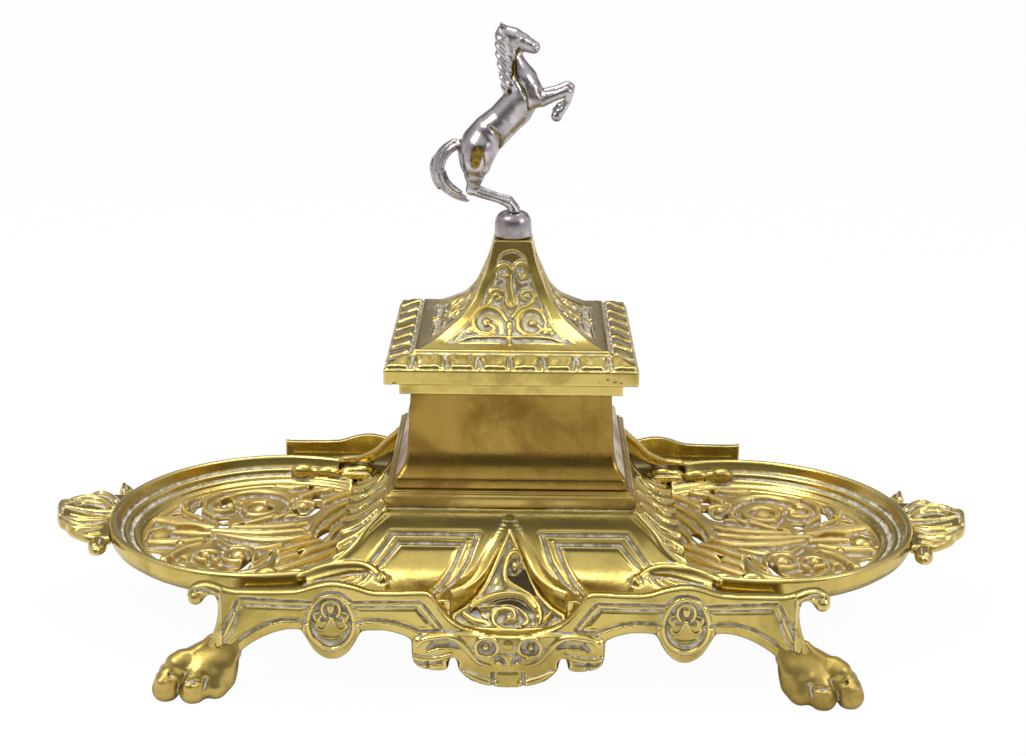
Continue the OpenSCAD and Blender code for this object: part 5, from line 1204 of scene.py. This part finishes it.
def collar():
    """Square collar over the box, bored for the pot, with the two fixed knuckles on their arms."""
    h = 0.35
    lo, hi = (-1.05, -35.4, 84.4), (35.4, 46, 93)
    x, y, z = grid(lo, hi, h)
    r = np.hypot(x, y)
    pin = np.hypot(y - 42, z - 89.7)
    d = smax(np.maximum(np.abs(x), np.abs(y)) - 34.5, np.abs(z - 87.4) - 2.1, 0.6)
    d = smax(d, 23.4 - r, 0.3)
    d = smax(d, -np.maximum(r - 26.2, 87.5 - z), 0.3)
    arm = np.maximum(np.abs(x - 9.3) - 4.45, np.maximum(np.abs(z - 88) - 1.6, np.maximum(33 - y, y - 42)))
    knuckle = smax(pin - 2.58, np.abs(x - 9.3) - 4.45, 0.3)
    d = smin(d, np.minimum(arm, knuckle), 0.4)
    d = np.maximum(d, 1.25 - pin)
    d = np.concatenate([d[:3:-1], d[3:]], 0)
    return solid((-(d.shape[0] // 2) * h, lo[1], lo[2]), h, d)


piece("box_collar_plate", collar(), ["box_collar"], mat=BRASS)
dome_profile = [(0, 127.5), (5.5, 127.5), (5.8, 127.7), (5.9, 128.2), (5.9, 131.2), (5.85, 132.2),
        (5.6, 133.3), (5.1, 134.3), (4.4, 135.1), (3.4, 135.6), (2.2, 135.9), (0, 136.0)]
piece("finial_socket", turned(dome_profile), ["finial_base"], "lid", "silver_plate", SILVER)


# Camera and light


def add_light(name, place, size, watts):
    """Soft rectangular lamp aimed at the middle of the stand."""
    data = bpy.data.lights.new(name, "AREA")
    data.shape = "RECTANGLE"
    data.size, data.size_y = size
    data.energy = watts
    o = bpy.data.objects.new(name, data)
    o.location = place
    o.rotation_euler = (Vector((0, 0, 0.05)) - Vector(place)).to_track_quat("-Z", "Y").to_euler()
    bpy.context.scene.collection.objects.link(o)


def add_camera():
    """The photograph's view: tilted down, rolled and turned a little."""
    tilt, roll, yaw = (math.radians(a) for a in (17.662, 0.508, -0.308))
    fwd = Vector((math.sin(yaw) * math.cos(tilt), math.cos(yaw) * math.cos(tilt), -math.sin(tilt)))
    right = Vector((math.cos(yaw), -math.sin(yaw), 0))
    up = right.cross(fwd)
    x_axis = math.cos(roll) * right + math.sin(roll) * up
    y_axis = -math.sin(roll) * right + math.cos(roll) * up
    data = bpy.data.cameras.new("camera")
    data.sensor_width, data.lens = 36, 63.12
    data.clip_start, data.clip_end = 0.05, 20
    camera = bpy.data.objects.new("camera", data)
    m = Matrix((x_axis, y_axis, -fwd)).transposed().to_4x4()
    m.translation = Vector((0.003362, -0.560331, 0.258403))
    camera.matrix_world = m
    bpy.context.scene.collection.objects.link(camera)
    bpy.context.scene.camera = camera


def add_floor(size=3000):
    """Plain pale paper, white to the camera with a little of its own shade kept."""
    s = Shader("paper")
    square = np.array([(-1, -1, 0), (1, -1, 0), (1, 1, 0), (-1, 1, 0)]) * size
    floor = bpy.data.objects.new("floor", to_mesh("floor", square, [[0, 1, 2, 3]], {}, False))
    floor.data.materials.append(s.mat)
    bpy.context.scene.collection.objects.link(floor)
    s.set("Base Color", (0.86, 0.86, 0.86))
    s.set("Roughness", 0.9)
    # it stays in shade under the middle, where the pierced panels look through to it
    at = s.split(s.where)
    across = s.math("DIVIDE", at["X"], 0.045)
    along = s.math("DIVIDE", s.math("SUBTRACT", at["Y"], 0.039), 0.0533)
    square_x, square_y = (s.math("POWER", s.math("ABSOLUTE", v), 4) for v in (across, along))
    open_floor = s.map(s.math("ADD", square_x, square_y), 0.35, 1.3, 0.0, 0.97)
    seen = s.math("MULTIPLY", s.add("LightPath").outputs["Is Camera Ray"], open_floor)
    # and far behind it is a bright sweep for the metal's reflections
    sweep = s.map(at["Y"], 0.12, 0.45, 0.0, 0.75)
    mix = s.add("MixShader")
    s.put(mix.inputs[0], s.math("MAXIMUM", seen, sweep))
    s.put(mix.inputs[1], s.bsdf.outputs[0])
    s.put(mix.inputs[2], s.add("Emission", Strength=1.0).outputs[0])
    s.put(s.t.nodes["Material Output"].inputs["Surface"], mix.outputs[0])


def add_room():
    """World: white to the camera, and for the rest a bright ceiling over dim walls with lilac panels."""
    world = bpy.data.worlds.new("room")
    bpy.context.scene.world = world
    world.use_nodes = True
    n = Nodes(world.node_tree)
    way = n.split(n.add("TexCoord").outputs["Generated"])
    ramp = n.add("ValToRGB")
    e = ramp.color_ramp.elements
    e[0].position, e[0].color = 0.0, (0.30, 0.28, 0.25, 1)
    e[1].position, e[1].color = 1.0, (1.0, 1.0, 1.03, 1)
    for at, value in ((0.18, 0.12), (0.44, 0.20), (0.60, 0.56)):
        e.new(at).color = (value, value, value * 1.02, 1)
    n.put(ramp.inputs[0], way["Z"])
    sides = n.map(n.math("ABSOLUTE", way["X"]), 0.62, 0.86, 0.0, 0.85)
    low = n.map(way["Z"], 0.24, 0.10, kind="LINEAR")
    far = n.map(way["Y"], 0.55, 0.85, kind="LINEAR")
    panels = n.math("MAXIMUM", sides, n.math("MULTIPLY", low, far))
    lit = n.mix(panels, ramp.outputs[0], (0.80, 0.74, 0.84))
    seen = n.mix(n.add("LightPath").outputs["Is Camera Ray"], lit, (1, 1, 1))
    n.put(n.t.nodes["Background"].inputs["Color"], seen)


add_camera()
add_light("key", (-0.5, -0.35, 0.9), (0.5, 0.35), 3.2)
add_light("fill", (0.75, -0.4, 0.6), (0.4, 0.4), 1.5)
add_light("top", (0, 0.15, 1.0), (0.7, 0.3), 3)
add_floor()
add_room()
bpy.context.scene.view_settings.view_transform = "Standard"

# CAD nodes whose shape stays
KEPT = {"apron_screws": STEEL, "tray_screws": STEEL, "box_bolts": STEEL, "hinge_pin": STEEL,
        "finial_nut": BRASS, "lid_hinge_leaf": BRASS, "ink_pot": GLAZE}
for name, mat in KEPT.items():
    for slot in NODES[name].material_slots:
        slot.material = mat
